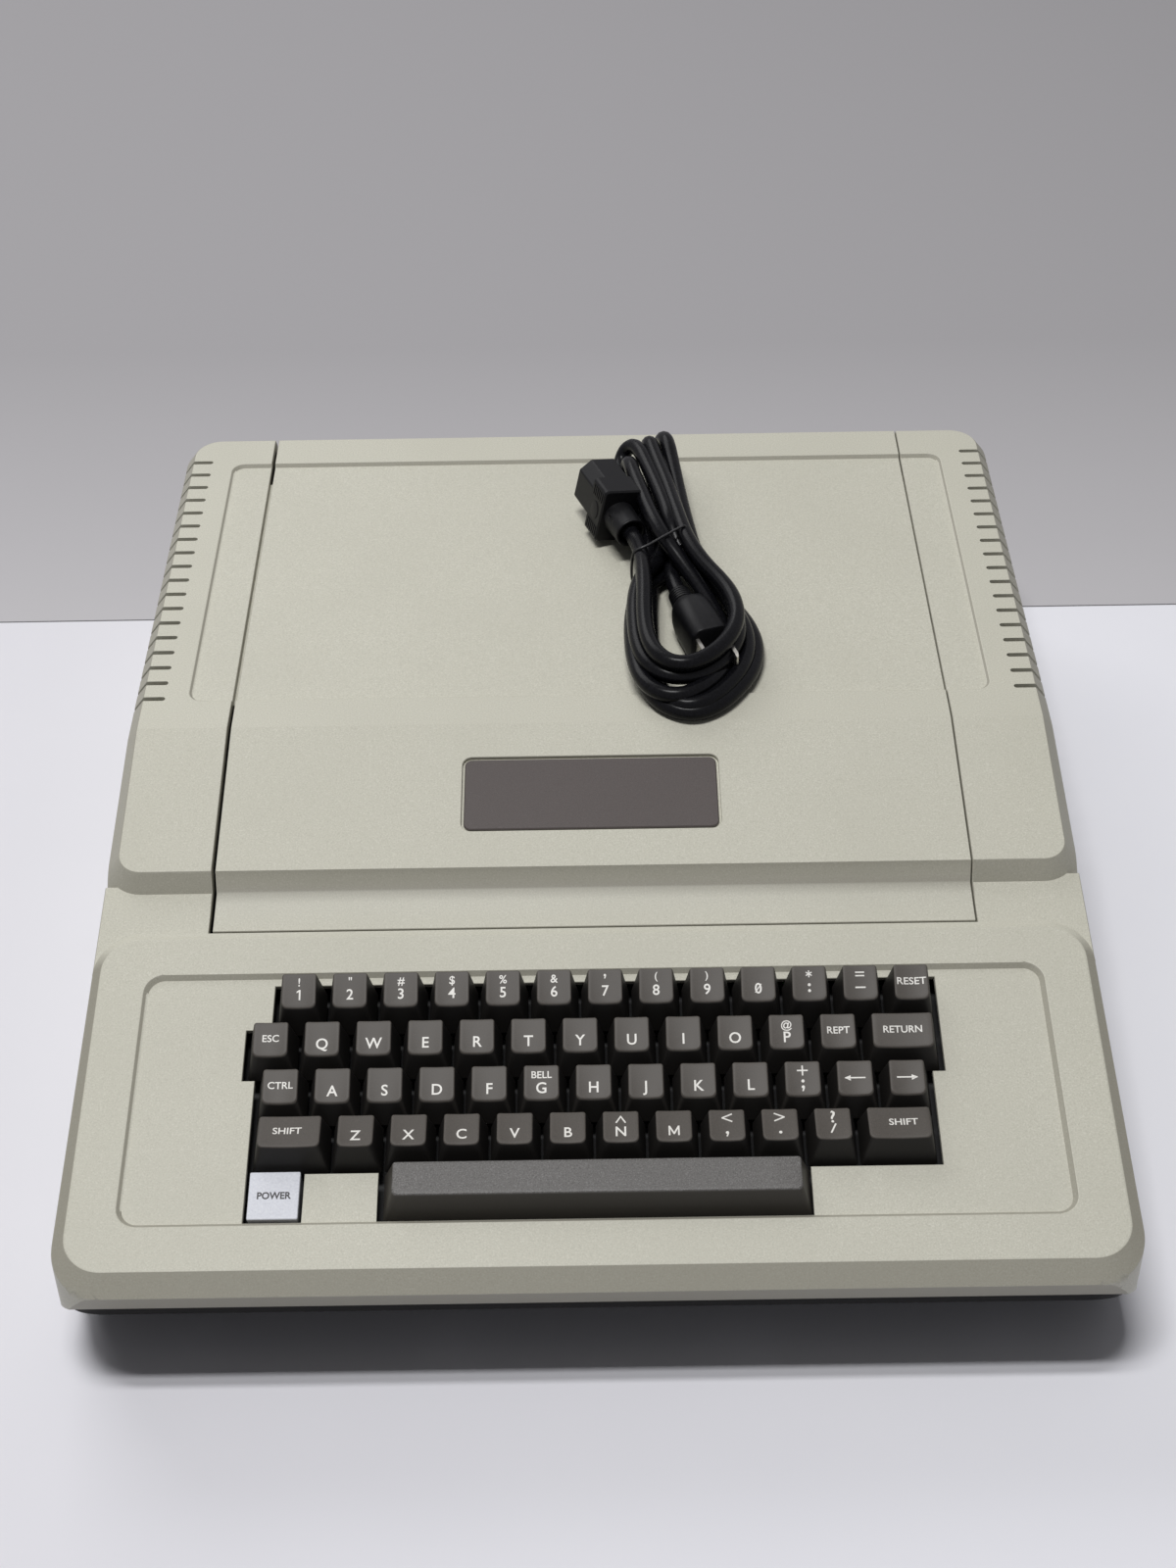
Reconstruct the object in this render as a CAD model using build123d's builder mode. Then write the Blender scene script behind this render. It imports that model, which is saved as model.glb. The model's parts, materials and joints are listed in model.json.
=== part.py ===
from build123d import *

import os
from math import cos, radians, sin, tan

# Vintage home computer with its detachable mains lead tied in a hank on the lid.
# Millimetres, +Z up, keyboard towards -Y. Origin: centre of the footprint, level with the feet's soles.

# Outer walls of the case, drafted so that they are widest at their foot
case_width = 388.0
case_front, case_rear = -229.0, 227.5
case_foot, case_top = 14.0, 108.0
draft = 2.3
corner_radius = 20.0
wall = 4.0

# Flat top, sloped panel in front of it, and the bevel round both
plateau_half = 185.7
plateau_rear = 220.5
plateau_radius = 12.0
panel_rear_y, panel_front_y = 11.0, -59.5
panel_slope = 10.37
panel_radius = 9.0
plateau_lean = 37.4
block_depth = 175.0

# Keyboard deck: a raised tilted slab with a bevel round it, behind it a shallow valley
deck_tilt = 10.87
deck_rear_y, deck_rear_z = -86.0, 84.85
deck_length = 136.9
deck_half = 187.5
deck_radius = 14.0
deck_lean = 60.0
deck_block_depth = 90.0
valley_drop = 2.24
valley_front_y, valley_rear_y = -100.0, -60.0
valley_end_y = -81.7

# Undercut below the front crease, where the base turns up
crease_z = 52.9
crease_y = case_front + (crease_z - case_foot) * tan(radians(draft))
lip_height, lip_lean = 12.0, 20.0
lip_foot_z = crease_z - lip_height
lip_foot_y = crease_y + lip_height * tan(radians(lip_lean))
toe_end_y = lip_foot_y + (lip_foot_z - case_foot)

# Recesses in the top and in the deck
top_recess_half, top_recess_front, top_recess_rear = 167.0, 28.1, 201.0
top_recess_depth, recess_radius, recess_lean = 1.5, 6.0, 42.0
field_half, field_rear, field_front = 168.8, -17.7, -118.4
field_depth = 1.8

# Vent slots over both side edges
vent_count, vent_pitch, vent_width = 18, 10.16, 2.4
vent_middle_y, vent_inner_x, vent_outer_x = 116.2, 176.6, 200.0
vent_foot_z = 78.0

# Lid opening
opening_half = 148.6
lid_left_gap, lid_right_gap, lid_front_gap = 1.5, 0.6, 0.6
lid_lip_z, lid_lip_gap = 92.0, 0.6
rear_wall_y = 215.0
below_lid_z = 66.0
ledge_width, ledge_depth, ledge_gap, ledge_web = 5.0, 4.0, 0.3, 4.0
ledge_front, ledge_rear = 30.0, 190.0

# Badge
badge_middle, badge_width, badge_height = -35.8, 103.4, 36.8
badge_depth, badge_radius, badge_gap = 1.6, 4.0, 1.0
badge_thickness, badge_chamfer = 1.2, 0.4

# Keyboard: unit pitch, rows counted from the rear, all measured in the field's plane
pitch = 19.05
row_one = -31.5
key_one_x = -110.1
cap_gap = 0.95
cap_foot = -3.2
cap_top_width = 12.7
cap_top_front, cap_top_rear = -4.5, 8.6
cap_blank_height = 16.0
row_front_height = [9.8, 7.6, 6.6, 9.5, 8.4]
row_rear_height = [12.7, 9.6, 8.3, 7.7, 8.0]
stem = 5.0
stem_end = -13.0
opening_gap = 1.15
housing, housing_bore = 14.4, 5.7
housing_top, housing_foot, housing_bore_foot = -8.6, -18.4, -18.0
frame_top, frame_thickness = -11.0, 1.5
frame_half, frame_front, frame_rear = 152.0, -90.0, 11.0
bar_width, bar_middle, bar_top_width = 152.5, 5.7875, 145.0
bar_guide = 50.0

# Lamp lens and the tongue of the case beside it, in key units from the first key
lamp_left, lamp_right = -0.735, 0.215
tongue_left, tongue_right = 0.285, 1.68
lamp_height, lamp_foot = 0.7, -10.9

# Base, feet and screws
base_inset = 2.4
base_underside, base_top = 7.0, 13.9
base_floor = 3.0
toe_lip, toe_setback = 5.8, 1.6
foot_radius, foot_x, foot_chamfer = 9.0, 165.0, 1.2
foot_front_y, foot_rear_y = -172.0, 190.0
screw_x, screw_ys = 185.0, [-130.0, 40.0, 170.0]
boss_radius, boss_height, post_inset = 5.2, 30.0, 2.0
screw_head_radius, screw_head_height, screw_radius, screw_length = 4.0, 2.4, 1.9, 20.0
toe_screw_xs = [-150.0, -55.0, 55.0, 150.0]
toe_screw_length = 4.0

# Inside: board, supply, speaker
board_left, board_right, board_front, board_rear = -80.0, 176.0, -90.0, 220.0
board_z, board_thickness = 18.0, 1.6
standoff_radius = 3.5
socket_count, socket_pitch = 8, 20.32
socket_width, socket_length, socket_height = 9.0, 90.0, 14.0
socket_first_x, socket_middle_y = -60.0, 158.0
supply_left, supply_right, supply_front, supply_rear = -178.0, -90.0, -40.0, 225.0
supply_bottom, supply_top = 14.0, 74.0
inlet_x, switch_x, panel_z = -115.0, -154.0, 46.0
speaker_x, speaker_y, speaker_radius = -135.0, -120.0, 28.5

# Rear openings in the case
cable_slot_xs = [-45.0, 30.0, 105.0]
cable_slot_width, cable_slot_foot = 13.0, 34.0
jack_left, jack_right, jack_top = 126.0, 176.0, 42.0

# Mains lead: hank, connector and plug, all resting on the recessed top
rest_z = case_top - top_recess_depth
cord_diameter = 7.0
cord_length = 1840.0
hank_top = rest_z + 28.0

os.makedirs("parts", exist_ok=True)

top_plane = Plane.XY.offset(case_top)
panel_plane = Plane(
    origin=(0, panel_rear_y, case_top),
    x_dir=(1, 0, 0),
    z_dir=(0, -sin(radians(panel_slope)), cos(radians(panel_slope))),
)
deck_plane = Plane(
    origin=(0, deck_rear_y, deck_rear_z),
    x_dir=(1, 0, 0),
    z_dir=(0, -sin(radians(deck_tilt)), cos(radians(deck_tilt))),
)
field_plane = deck_plane.offset(-field_depth)
key_plane = Plane(
    origin=field_plane.from_local_coords((0, row_one, 0)),
    x_dir=(1, 0, 0),
    z_dir=field_plane.z_dir,
)


def deck_height(y):
    """Height of the deck's plane above the floor at y."""
    return deck_rear_z + (y - deck_rear_y) * tan(radians(deck_tilt))


def unit_x(units):
    """X of a place in the keyboard, in key units right of the first key."""
    return key_one_x + units * pitch


def side_prism(points, left, right):
    """Prism with a profile in Y and Z that runs from left to right."""
    with BuildPart() as prism:
        with BuildSketch(Plane.YZ.offset(left)):
            with BuildLine():
                Polyline(*points, close=True)
            make_face()
        extrude(amount=right - left)
    return prism.part


def leaning_block(plane, half, front, rear, radius, lean, depth):
    """Block that hangs under a plane, with sides that lean outwards from the plane's normal."""
    under = Plane(origin=plane.origin, x_dir=plane.x_dir, z_dir=-plane.z_dir)
    with BuildPart() as block:
        with BuildSketch(under):
            with Locations((0, -(front + rear) / 2)):
                RectangleRounded(2 * half, rear - front, radius)
        extrude(amount=depth, taper=-lean)
    return block.part


def drafted_walls(inset):
    """The walls' outer form, a little taller than the case."""
    with BuildPart() as walls:
        with BuildSketch(Plane.XY.offset(case_foot)):
            with Locations((0, (case_front + case_rear) / 2)):
                RectangleRounded(
                    case_width - 2 * inset, case_rear - case_front - 2 * inset, corner_radius - inset
                )
        extrude(amount=case_top - case_foot + 2, taper=draft)
    return walls.part


def undercut(inset):
    """What is missing below the front crease."""
    far, low = case_front - 30, case_foot - 5
    front = crease_y + inset
    if inset:
        drop = crease_z - low
        points = [(front, crease_z), (front + drop * tan(radians(lip_lean)), low)]
        points += [(far, low), (far, crease_z)]
    else:
        points = [(front, crease_z), (lip_foot_y, lip_foot_z), (toe_end_y, case_foot), (toe_end_y, low)]
        points += [(far, low), (far, crease_z)]
    return side_prism(points, -case_width, case_width)


def case_form(inset):
    """The closed form of the whole case and lid, every face moved inwards by inset."""
    walls = drafted_walls(inset)
    far = 2 * case_rear
    with BuildPart() as plateau:
        add(walls)
        add(
            leaning_block(
                top_plane.offset(-inset), plateau_half - inset, -far, plateau_rear - inset,
                plateau_radius, plateau_lean, block_depth,
            ),
            mode=Mode.INTERSECT,
        )
        panel_front = (panel_front_y - panel_rear_y) / cos(radians(panel_slope)) + inset
        add(
            leaning_block(
                panel_plane.offset(-inset), plateau_half - inset, panel_front, far,
                panel_radius, plateau_lean, block_depth,
            ),
            mode=Mode.INTERSECT,
        )
    drop = valley_drop + inset
    valley_points = [
        (valley_front_y, 0),
        (valley_front_y, deck_height(valley_front_y) - drop),
        (valley_rear_y + inset, deck_height(valley_rear_y + inset) - drop),
        (valley_rear_y + inset, 0),
    ]
    with BuildPart() as valley:
        add(walls)
        add(side_prism(valley_points, -case_width, case_width), mode=Mode.INTERSECT)
    with BuildPart() as deck:
        add(walls)
        add(
            leaning_block(
                deck_plane.offset(-inset), deck_half - inset, -deck_length + inset, -inset,
                deck_radius - inset, deck_lean, deck_block_depth,
            ),
            mode=Mode.INTERSECT,
        )
    with BuildPart() as form:
        add(plateau.part)
        add(valley.part)
        add(deck.part)
        add(undercut(inset), mode=Mode.SUBTRACT)
    return form.part


def lid_zone(front, rear, lip_z, left, right):
    """Everything that the lid may fill: down to the inside, and over the rear wall down to its lip."""
    high = case_top + 10
    points = [(front, below_lid_z), (rear, below_lid_z), (rear, lip_z), (case_rear + 10, lip_z)]
    points += [(case_rear + 10, high), (front, high)]
    return side_prism(points, left, right)


def top_recess():
    """The shallow recess that the flat top and the lid share."""
    under = Plane(origin=top_plane.origin, x_dir=(1, 0, 0), z_dir=(0, 0, -1))
    with BuildPart() as recess:
        with BuildSketch(under):
            with Locations((0, -(top_recess_front + top_recess_rear) / 2)):
                RectangleRounded(2 * top_recess_half, top_recess_rear - top_recess_front, recess_radius)
        extrude(amount=top_recess_depth, taper=recess_lean)
    return recess.part


def field_recess():
    """The shallow recess in the deck round the keyboard."""
    under = Plane(origin=deck_plane.origin, x_dir=(1, 0, 0), z_dir=-deck_plane.z_dir)
    margin = field_depth * tan(radians(recess_lean))
    with BuildPart() as recess:
        with BuildSketch(under):
            with Locations((0, -(field_front + field_rear) / 2)):
                RectangleRounded(
                    2 * (field_half + margin), field_rear - field_front + 2 * margin, recess_radius + margin
                )
        extrude(amount=field_depth, taper=recess_lean)
    return recess.part


def key_opening():
    """The stepped opening that the keys stand in, with the tongue beside the lamp left standing."""
    gap = opening_gap

    def corner(units, rows, x_side, y_side):
        return (unit_x(units) + x_side * gap, -rows * pitch + y_side * gap)

    outline = [
        corner(-0.5, -0.5, -1, 1), corner(12.5, -0.5, 1, 1), corner(12.5, 1.5, 1, -1),
        corner(12.25, 1.5, 1, -1), corner(12.25, 3.5, 1, -1), corner(9.75, 3.5, 1, -1),
        corner(9.75, 4.5, 1, -1), corner(tongue_right, 4.5, 0, -1), corner(tongue_right, 3.5, 0, -1),
        corner(tongue_left, 3.5, 0, -1), corner(tongue_left, 4.5, 0, -1), corner(-0.75, 4.5, -1, -1),
        corner(-0.75, 1.5, -1, -1), corner(-1.0, 1.5, -1, -1), corner(-1.0, 0.5, -1, 1),
        corner(-0.5, 0.5, -1, 1),
    ]
    with BuildPart() as hole:
        with BuildSketch(key_plane):
            with BuildLine():
                Polyline(*outline, close=True)
            make_face()
        extrude(amount=2 * wall, both=True)
    return hole.part


def vents():
    """Slots with round inner ends, cut down through the top's edge and the side walls."""
    length = vent_outer_x - vent_inner_x
    middle = (vent_outer_x + vent_inner_x) / 2
    with BuildPart() as slots:
        with BuildSketch(Plane.XY.offset(vent_foot_z)):
            with Locations((middle, vent_middle_y), (-middle, vent_middle_y)):
                with GridLocations(0, vent_pitch, 1, vent_count):
                    SlotOverall(length, vent_width)
        extrude(amount=2 * (case_top - vent_foot_z))
    return slots.part


def rear_openings():
    """Cable slots that the lid closes, and the cut-outs for the supply and the jacks."""
    depth, overrun = 30.0, 2.0
    supply_gap = 1.0
    with BuildPart() as holes:
        for x in cable_slot_xs:
            with Locations((x, case_rear, (cable_slot_foot + lid_lip_z + overrun) / 2)):
                Box(cable_slot_width, depth, lid_lip_z + overrun - cable_slot_foot)
        with Locations(((supply_left + supply_right) / 2, case_rear, (supply_top + supply_gap) / 2)):
            Box(supply_right - supply_left + 2 * supply_gap, depth, supply_top + supply_gap)
        with Locations(((jack_left + jack_right) / 2, case_rear, jack_top / 2)):
            Box(jack_right - jack_left, depth, jack_top)
    return holes.part


def screw_places():
    """Centres of the six screws along the sides."""
    return [(side * screw_x, y) for side in (-1, 1) for y in screw_ys]


def make_upper_case(shell):
    post_root = 1.0
    ledge_top = case_top - wall - ledge_gap
    ledge_length = ledge_rear - ledge_front
    with BuildPart() as upper_case:
        add(shell)
        zone = lid_zone(valley_end_y, rear_wall_y, lid_lip_z, -opening_half, opening_half)
        add(zone, mode=Mode.SUBTRACT)
        add(top_recess(), mode=Mode.SUBTRACT)
        add(field_recess(), mode=Mode.SUBTRACT)
        ledge_middle_y = (ledge_front + ledge_rear) / 2
        for side in (-1, 1):
            with Locations((side * opening_half, ledge_middle_y, ledge_top - ledge_depth / 2)):
                Box(2 * ledge_width, ledge_length, ledge_depth)
            with Locations((side * (opening_half + ledge_width - ledge_web / 2), ledge_middle_y, ledge_top)):
                Box(ledge_web, ledge_length, ledge_depth)
        with Locations(*[(x, y, case_foot + boss_height / 2) for x, y in screw_places()]):
            Cylinder(boss_radius, boss_height)
        with Locations(*[(x, y, case_foot + screw_length / 2) for x, y in screw_places()]):
            Cylinder(screw_radius, screw_length, mode=Mode.SUBTRACT)
        add(vents(), mode=Mode.SUBTRACT)
        add(rear_openings(), mode=Mode.SUBTRACT)
        with BuildSketch(key_plane.offset(frame_top)):
            with Locations(*keyboard_posts()):
                Circle(boss_radius)
        extrude(amount=-frame_top - post_root)
        add(key_opening(), mode=Mode.SUBTRACT)
    upper_case.part.label = "upper_case"
    export_step(upper_case.part, "parts/upper_case.step")


def keyboard_posts():
    """Four posts under the deck that the keyboard frame hangs on."""
    inset = boss_radius + post_inset
    return [
        (side * (frame_half - inset), y)
        for side in (-1, 1)
        for y in (frame_front + inset, frame_rear - inset)
    ]


def make_lid(shell):
    rib_thickness, rib_depth, rib_root, rib_xs = 2.5, 4.0, 1.0, [-70, 0, 70]
    with BuildPart() as lid:
        add(shell)
        zone = lid_zone(
            valley_end_y + lid_front_gap, rear_wall_y + lid_lip_gap, lid_lip_z + lid_lip_gap,
            -opening_half + lid_left_gap, opening_half - lid_right_gap,
        )
        add(zone, mode=Mode.INTERSECT)
        for x in rib_xs:
            with Locations((x, (ledge_front + ledge_rear) / 2, case_top - wall - rib_depth / 2)):
                Box(rib_thickness, ledge_rear - ledge_front, rib_depth + rib_root)
        add(top_recess(), mode=Mode.SUBTRACT)
        with BuildSketch(panel_plane):
            with Locations((0, badge_middle)):
                RectangleRounded(badge_width, badge_height, badge_radius)
        extrude(amount=-badge_depth, mode=Mode.SUBTRACT)
    lid.part.label = "lid"
    export_step(lid.part, "parts/lid.step")


def make_badge_plate():
    with BuildPart() as badge_plate:
        with BuildSketch(panel_plane.offset(-badge_depth)):
            with Locations((0, badge_middle)):
                RectangleRounded(
                    badge_width - 2 * badge_gap, badge_height - 2 * badge_gap, badge_radius - badge_gap
                )
        extrude(amount=badge_thickness)
        badge_face = badge_plate.faces().sort_by(Axis((0, 0, 0), panel_plane.z_dir))[-1]
        chamfer(badge_face.edges(), length=badge_chamfer)
    badge_plate.part.label = "badge_plate"
    export_step(badge_plate.part, "parts/badge_plate.step")


def make_base_plate():
    front, rear, past_rear = lip_foot_y + toe_setback, case_rear - base_inset, case_rear + wall
    toe_foot_y = front + (lip_foot_z - toe_lip - base_underside)
    gap = case_foot - base_top
    profile = [
        (past_rear, base_underside), (toe_foot_y, base_underside), (front, lip_foot_z - toe_lip),
        (front, lip_foot_z - gap - toe_setback), (toe_end_y, base_top), (past_rear, base_top),
    ]
    pocket_inset, pocket_side_inset, pocket_front_inset = 8.0, 11.0, 6.0
    pocket_width = case_width - 2 * base_inset - 2 * pocket_side_inset
    head_gap, shank_gap, toe_gap = 0.2, 0.2, 0.1
    with BuildPart() as base_plate:
        with BuildSketch(Plane.XY):
            with Locations((0, (front + rear) / 2)):
                RectangleRounded(case_width - 2 * base_inset, rear - front, corner_radius - base_inset)
        extrude(amount=case_top)
        add(side_prism(profile, -case_width, case_width), mode=Mode.INTERSECT)
        pocket_front = toe_foot_y + pocket_front_inset
        with BuildSketch(Plane.XY.offset(base_underside + base_floor)):
            with Locations((0, (pocket_front + rear - pocket_inset) / 2)):
                Rectangle(pocket_width, rear - pocket_inset - pocket_front)
        extrude(amount=base_top, mode=Mode.SUBTRACT)
        with Locations(*[(x, y, (base_underside + base_floor + board_z) / 2) for x, y in standoff_places()]):
            Cylinder(standoff_radius, board_z - base_underside - base_floor)
        with Locations(*[(x, y, base_underside) for x, y in screw_places()]):
            Cylinder(screw_head_radius + head_gap, 2 * (screw_head_height + head_gap), mode=Mode.SUBTRACT)
            Cylinder(screw_radius + shank_gap, 2 * case_foot, mode=Mode.SUBTRACT)
        with BuildSketch(toe_plane()):
            with Locations(*[(x, 0) for x in toe_screw_xs]):
                Circle(screw_radius + toe_gap)
        extrude(amount=-toe_screw_length, mode=Mode.SUBTRACT)
    base_plate.part.label = "base_plate"
    export_step(base_plate.part, "parts/base_plate.step")


def toe_plane():
    """Plane on the slanted toe of the base, facing down and forwards."""
    front = lip_foot_y + toe_setback
    rise = (lip_foot_z - toe_lip - base_underside) / 2
    slant = cos(radians(45))
    return Plane(
        origin=(0, front + rise, base_underside + rise), x_dir=(1, 0, 0), z_dir=(0, -slant, -slant)
    )


def standoff_places():
    """Six pillars under the main board."""
    inset = 8.0
    middle = (board_front + board_rear) / 2
    return [
        (x, y)
        for x in (board_left + inset, board_right - inset)
        for y in (board_front + inset, middle, board_rear - inset)
    ]


def make_rubber_feet():
    places = [(x, y) for x in (-foot_x, foot_x) for y in (foot_front_y, foot_rear_y)]
    with BuildPart() as rubber_feet:
        with Locations(*[(x, y, base_underside / 2) for x, y in places]):
            Cylinder(foot_radius, base_underside)
        chamfer(rubber_feet.edges().group_by(Axis.Z)[0], length=foot_chamfer)
    rubber_feet.part.label = "rubber_feet"
    export_step(rubber_feet.part, "parts/rubber_feet.step")


def make_case_screws():
    slot_width, slot_depth, screw_grip, thread_gap = 0.9, 1.0, 12.0, 0.05
    with BuildPart() as case_screws:
        with Locations(*[(x, y, base_underside + screw_head_height / 2) for x, y in screw_places()]):
            Cylinder(screw_head_radius, screw_head_height)
        shank = case_foot + screw_grip - base_underside
        with Locations(*[(x, y, base_underside + shank / 2) for x, y in screw_places()]):
            Cylinder(screw_radius - thread_gap, shank)
        with Locations(*[(x, y, base_underside) for x, y in screw_places()]):
            Box(2 * screw_head_radius, slot_width, 2 * slot_depth, mode=Mode.SUBTRACT)
        with BuildSketch(toe_plane()):
            with Locations(*[(x, 0) for x in toe_screw_xs]):
                Circle(screw_head_radius)
        extrude(amount=screw_head_height)
        with BuildSketch(toe_plane()):
            with Locations(*[(x, 0) for x in toe_screw_xs]):
                Circle(screw_radius)
        extrude(amount=-toe_screw_length / 2)
        with BuildSketch(toe_plane().offset(screw_head_height)):
            with Locations(*[(x, 0) for x in toe_screw_xs]):
                Rectangle(2 * screw_head_radius, slot_width)
        extrude(amount=-slot_depth, mode=Mode.SUBTRACT)
    case_screws.part.label = "case_screws"
    export_step(case_screws.part, "parts/case_screws.step")


# ---- Keyboard ----

row_keys = [
    "1 2 3 4 5 6 7 8 9 0 colon minus reset",
    "escape q w e r t y u i o p repeat return",
    "control a s d f g h j k l semicolon left right",
    "left_shift z x c v b n m comma period slash right_shift",
]
row_first_unit = [0.0, -0.5, -0.25, 0.25]
wide_key_shift = {"return": 0.25, "left_shift": -0.25, "right_shift": 0.25}
wide_key_units = 1.5
paired_from = {0: 0, 3: 1}


def key_groups():
    """Node names with their keys, each key as its middle in units, its row and its width in units."""
    groups = []
    for row, names in enumerate(row_keys):
        keys = []
        for place, name in enumerate(names.split()):
            units = row_first_unit[row] + place + wide_key_shift.get(name, 0)
            keys.append((name, units, row, wide_key_units if name in wide_key_shift else 1))
        place = 0
        while place < len(keys):
            paired = row in paired_from and place >= paired_from[row] and place + 2 < len(keys)
            members = keys[place:place + 2] if paired else keys[place:place + 1]
            title = "_".join(member[0] for member in members)
            groups.append((("keys_" if paired else "key_") + title, [member[1:] for member in members]))
            place += len(members)
    return groups


def cap(units, row, base_width, top_width):
    """Key cap with six flat faces, its top tilted as its row asks."""
    origin = key_plane.from_local_coords((unit_x(units), -row * pitch, 0))
    side_plane = Plane(origin=origin, x_dir=key_plane.y_dir, z_dir=key_plane.x_dir)
    front_plane = Plane(origin=origin, x_dir=key_plane.x_dir, z_dir=-key_plane.y_dir)
    half = (pitch - cap_gap) / 2
    middle_height = (row_front_height[row] + row_rear_height[row]) / 2
    lean = (base_width - top_width) / 2 / (middle_height - cap_foot)
    blank_half = base_width / 2 - lean * (cap_blank_height - cap_foot)
    with BuildPart() as blank:
        with BuildSketch(side_plane):
            with BuildLine():
                Polyline(
                    (-half, cap_foot), (half, cap_foot), (cap_top_rear, row_rear_height[row]),
                    (cap_top_front, row_front_height[row]), close=True,
                )
            make_face()
        extrude(amount=base_width, both=True)
        with BuildSketch(front_plane):
            with BuildLine():
                Polyline(
                    (-base_width / 2, cap_foot), (base_width / 2, cap_foot),
                    (blank_half, cap_blank_height), (-blank_half, cap_blank_height), close=True,
                )
            make_face()
        extrude(amount=pitch, both=True, mode=Mode.INTERSECT)
    return blank.part


def stems(places):
    """Square stems under the caps, at places in the keyboard's plane."""
    overlap = 1.0
    with BuildPart() as posts:
        with BuildSketch(key_plane.offset(stem_end)):
            with Locations(*places):
                Rectangle(stem, stem)
        extrude(amount=cap_foot - stem_end + overlap)
    return posts.part


def bar_places():
    """The space bar's switch and its two guides."""
    return [(unit_x(bar_middle) + shift, -4 * pitch) for shift in (-bar_guide, 0, bar_guide)]


def make_keys():
    for name, keys in key_groups():
        with BuildPart() as key:
            for units, row, width in keys:
                base_width = width * pitch - cap_gap
                add(cap(units, row, base_width, base_width - (pitch - cap_gap - cap_top_width)))
            add(stems([(unit_x(units), -row * pitch) for units, row, _ in keys]))
        key.part.label = name
        export_step(key.part, f"parts/{name}.step")
    with BuildPart() as space_bar:
        add(cap(bar_middle, 4, bar_width, bar_top_width))
        add(stems(bar_places()))
    space_bar.part.label = "space_bar"
    export_step(space_bar.part, "parts/space_bar.step")


def switch_places():
    """Middles of every switch housing in the keyboard's plane."""
    places = [(unit_x(units), -row * pitch) for _, keys in key_groups() for units, row, _ in keys]
    return places + bar_places()


def make_key_switches():
    with BuildPart() as key_switches:
        with BuildSketch(key_plane.offset(housing_foot)):
            with Locations(*switch_places()):
                Rectangle(housing, housing)
        extrude(amount=housing_top - housing_foot)
        with BuildSketch(key_plane.offset(housing_bore_foot)):
            with Locations(*switch_places()):
                Rectangle(housing_bore, housing_bore)
        extrude(amount=housing_top - housing_bore_foot, mode=Mode.SUBTRACT)
    key_switches.part.label = "key_switches"
    export_step(key_switches.part, "parts/key_switches.step")


def make_keyboard_frame():
    hole_gap = 0.1
    with BuildPart() as keyboard_frame:
        with BuildSketch(key_plane.offset(frame_top)):
            with Locations((0, (frame_front + frame_rear) / 2)):
                Rectangle(2 * frame_half, frame_rear - frame_front)
            with Locations(*switch_places()):
                Rectangle(housing + hole_gap, housing + hole_gap, mode=Mode.SUBTRACT)
        extrude(amount=-frame_thickness)
    keyboard_frame.part.label = "keyboard_frame"
    export_step(keyboard_frame.part, "parts/keyboard_frame.step")


def make_keyboard_board():
    half_length, front, rear = 140.0, -86.0, 9.0
    chip_count, chip_pitch, chip_length, chip_width, chip_height = 6, 30.0, 19.0, 7.0, 4.0
    with BuildPart() as keyboard_board:
        with BuildSketch(key_plane.offset(housing_foot)):
            with Locations((0, (front + rear) / 2)):
                Rectangle(2 * half_length, rear - front)
        extrude(amount=-board_thickness)
        with BuildSketch(key_plane.offset(housing_foot - board_thickness)):
            with Locations((0, (front + rear) / 2)):
                with GridLocations(chip_pitch, 0, chip_count, 1):
                    Rectangle(chip_length, chip_width)
        extrude(amount=-chip_height)
    keyboard_board.part.label = "keyboard_board"
    export_step(keyboard_board.part, "parts/keyboard_board.step")


def make_power_lamp():
    front, rear, lamp_chamfer = -4.5 * pitch, -3.53 * pitch, 0.5
    with BuildPart() as power_lamp:
        with BuildSketch(key_plane.offset(lamp_foot)):
            with Locations((unit_x((lamp_left + lamp_right) / 2), (front + rear) / 2)):
                Rectangle((lamp_right - lamp_left) * pitch, rear - front)
        extrude(amount=lamp_height - lamp_foot)
        chamfer(power_lamp.faces().sort_by(Axis((0, 0, 0), key_plane.z_dir))[-1].edges(), length=lamp_chamfer)
    power_lamp.part.label = "power_lamp"
    export_step(power_lamp.part, "parts/power_lamp.step")


# ---- Inside ----

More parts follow.
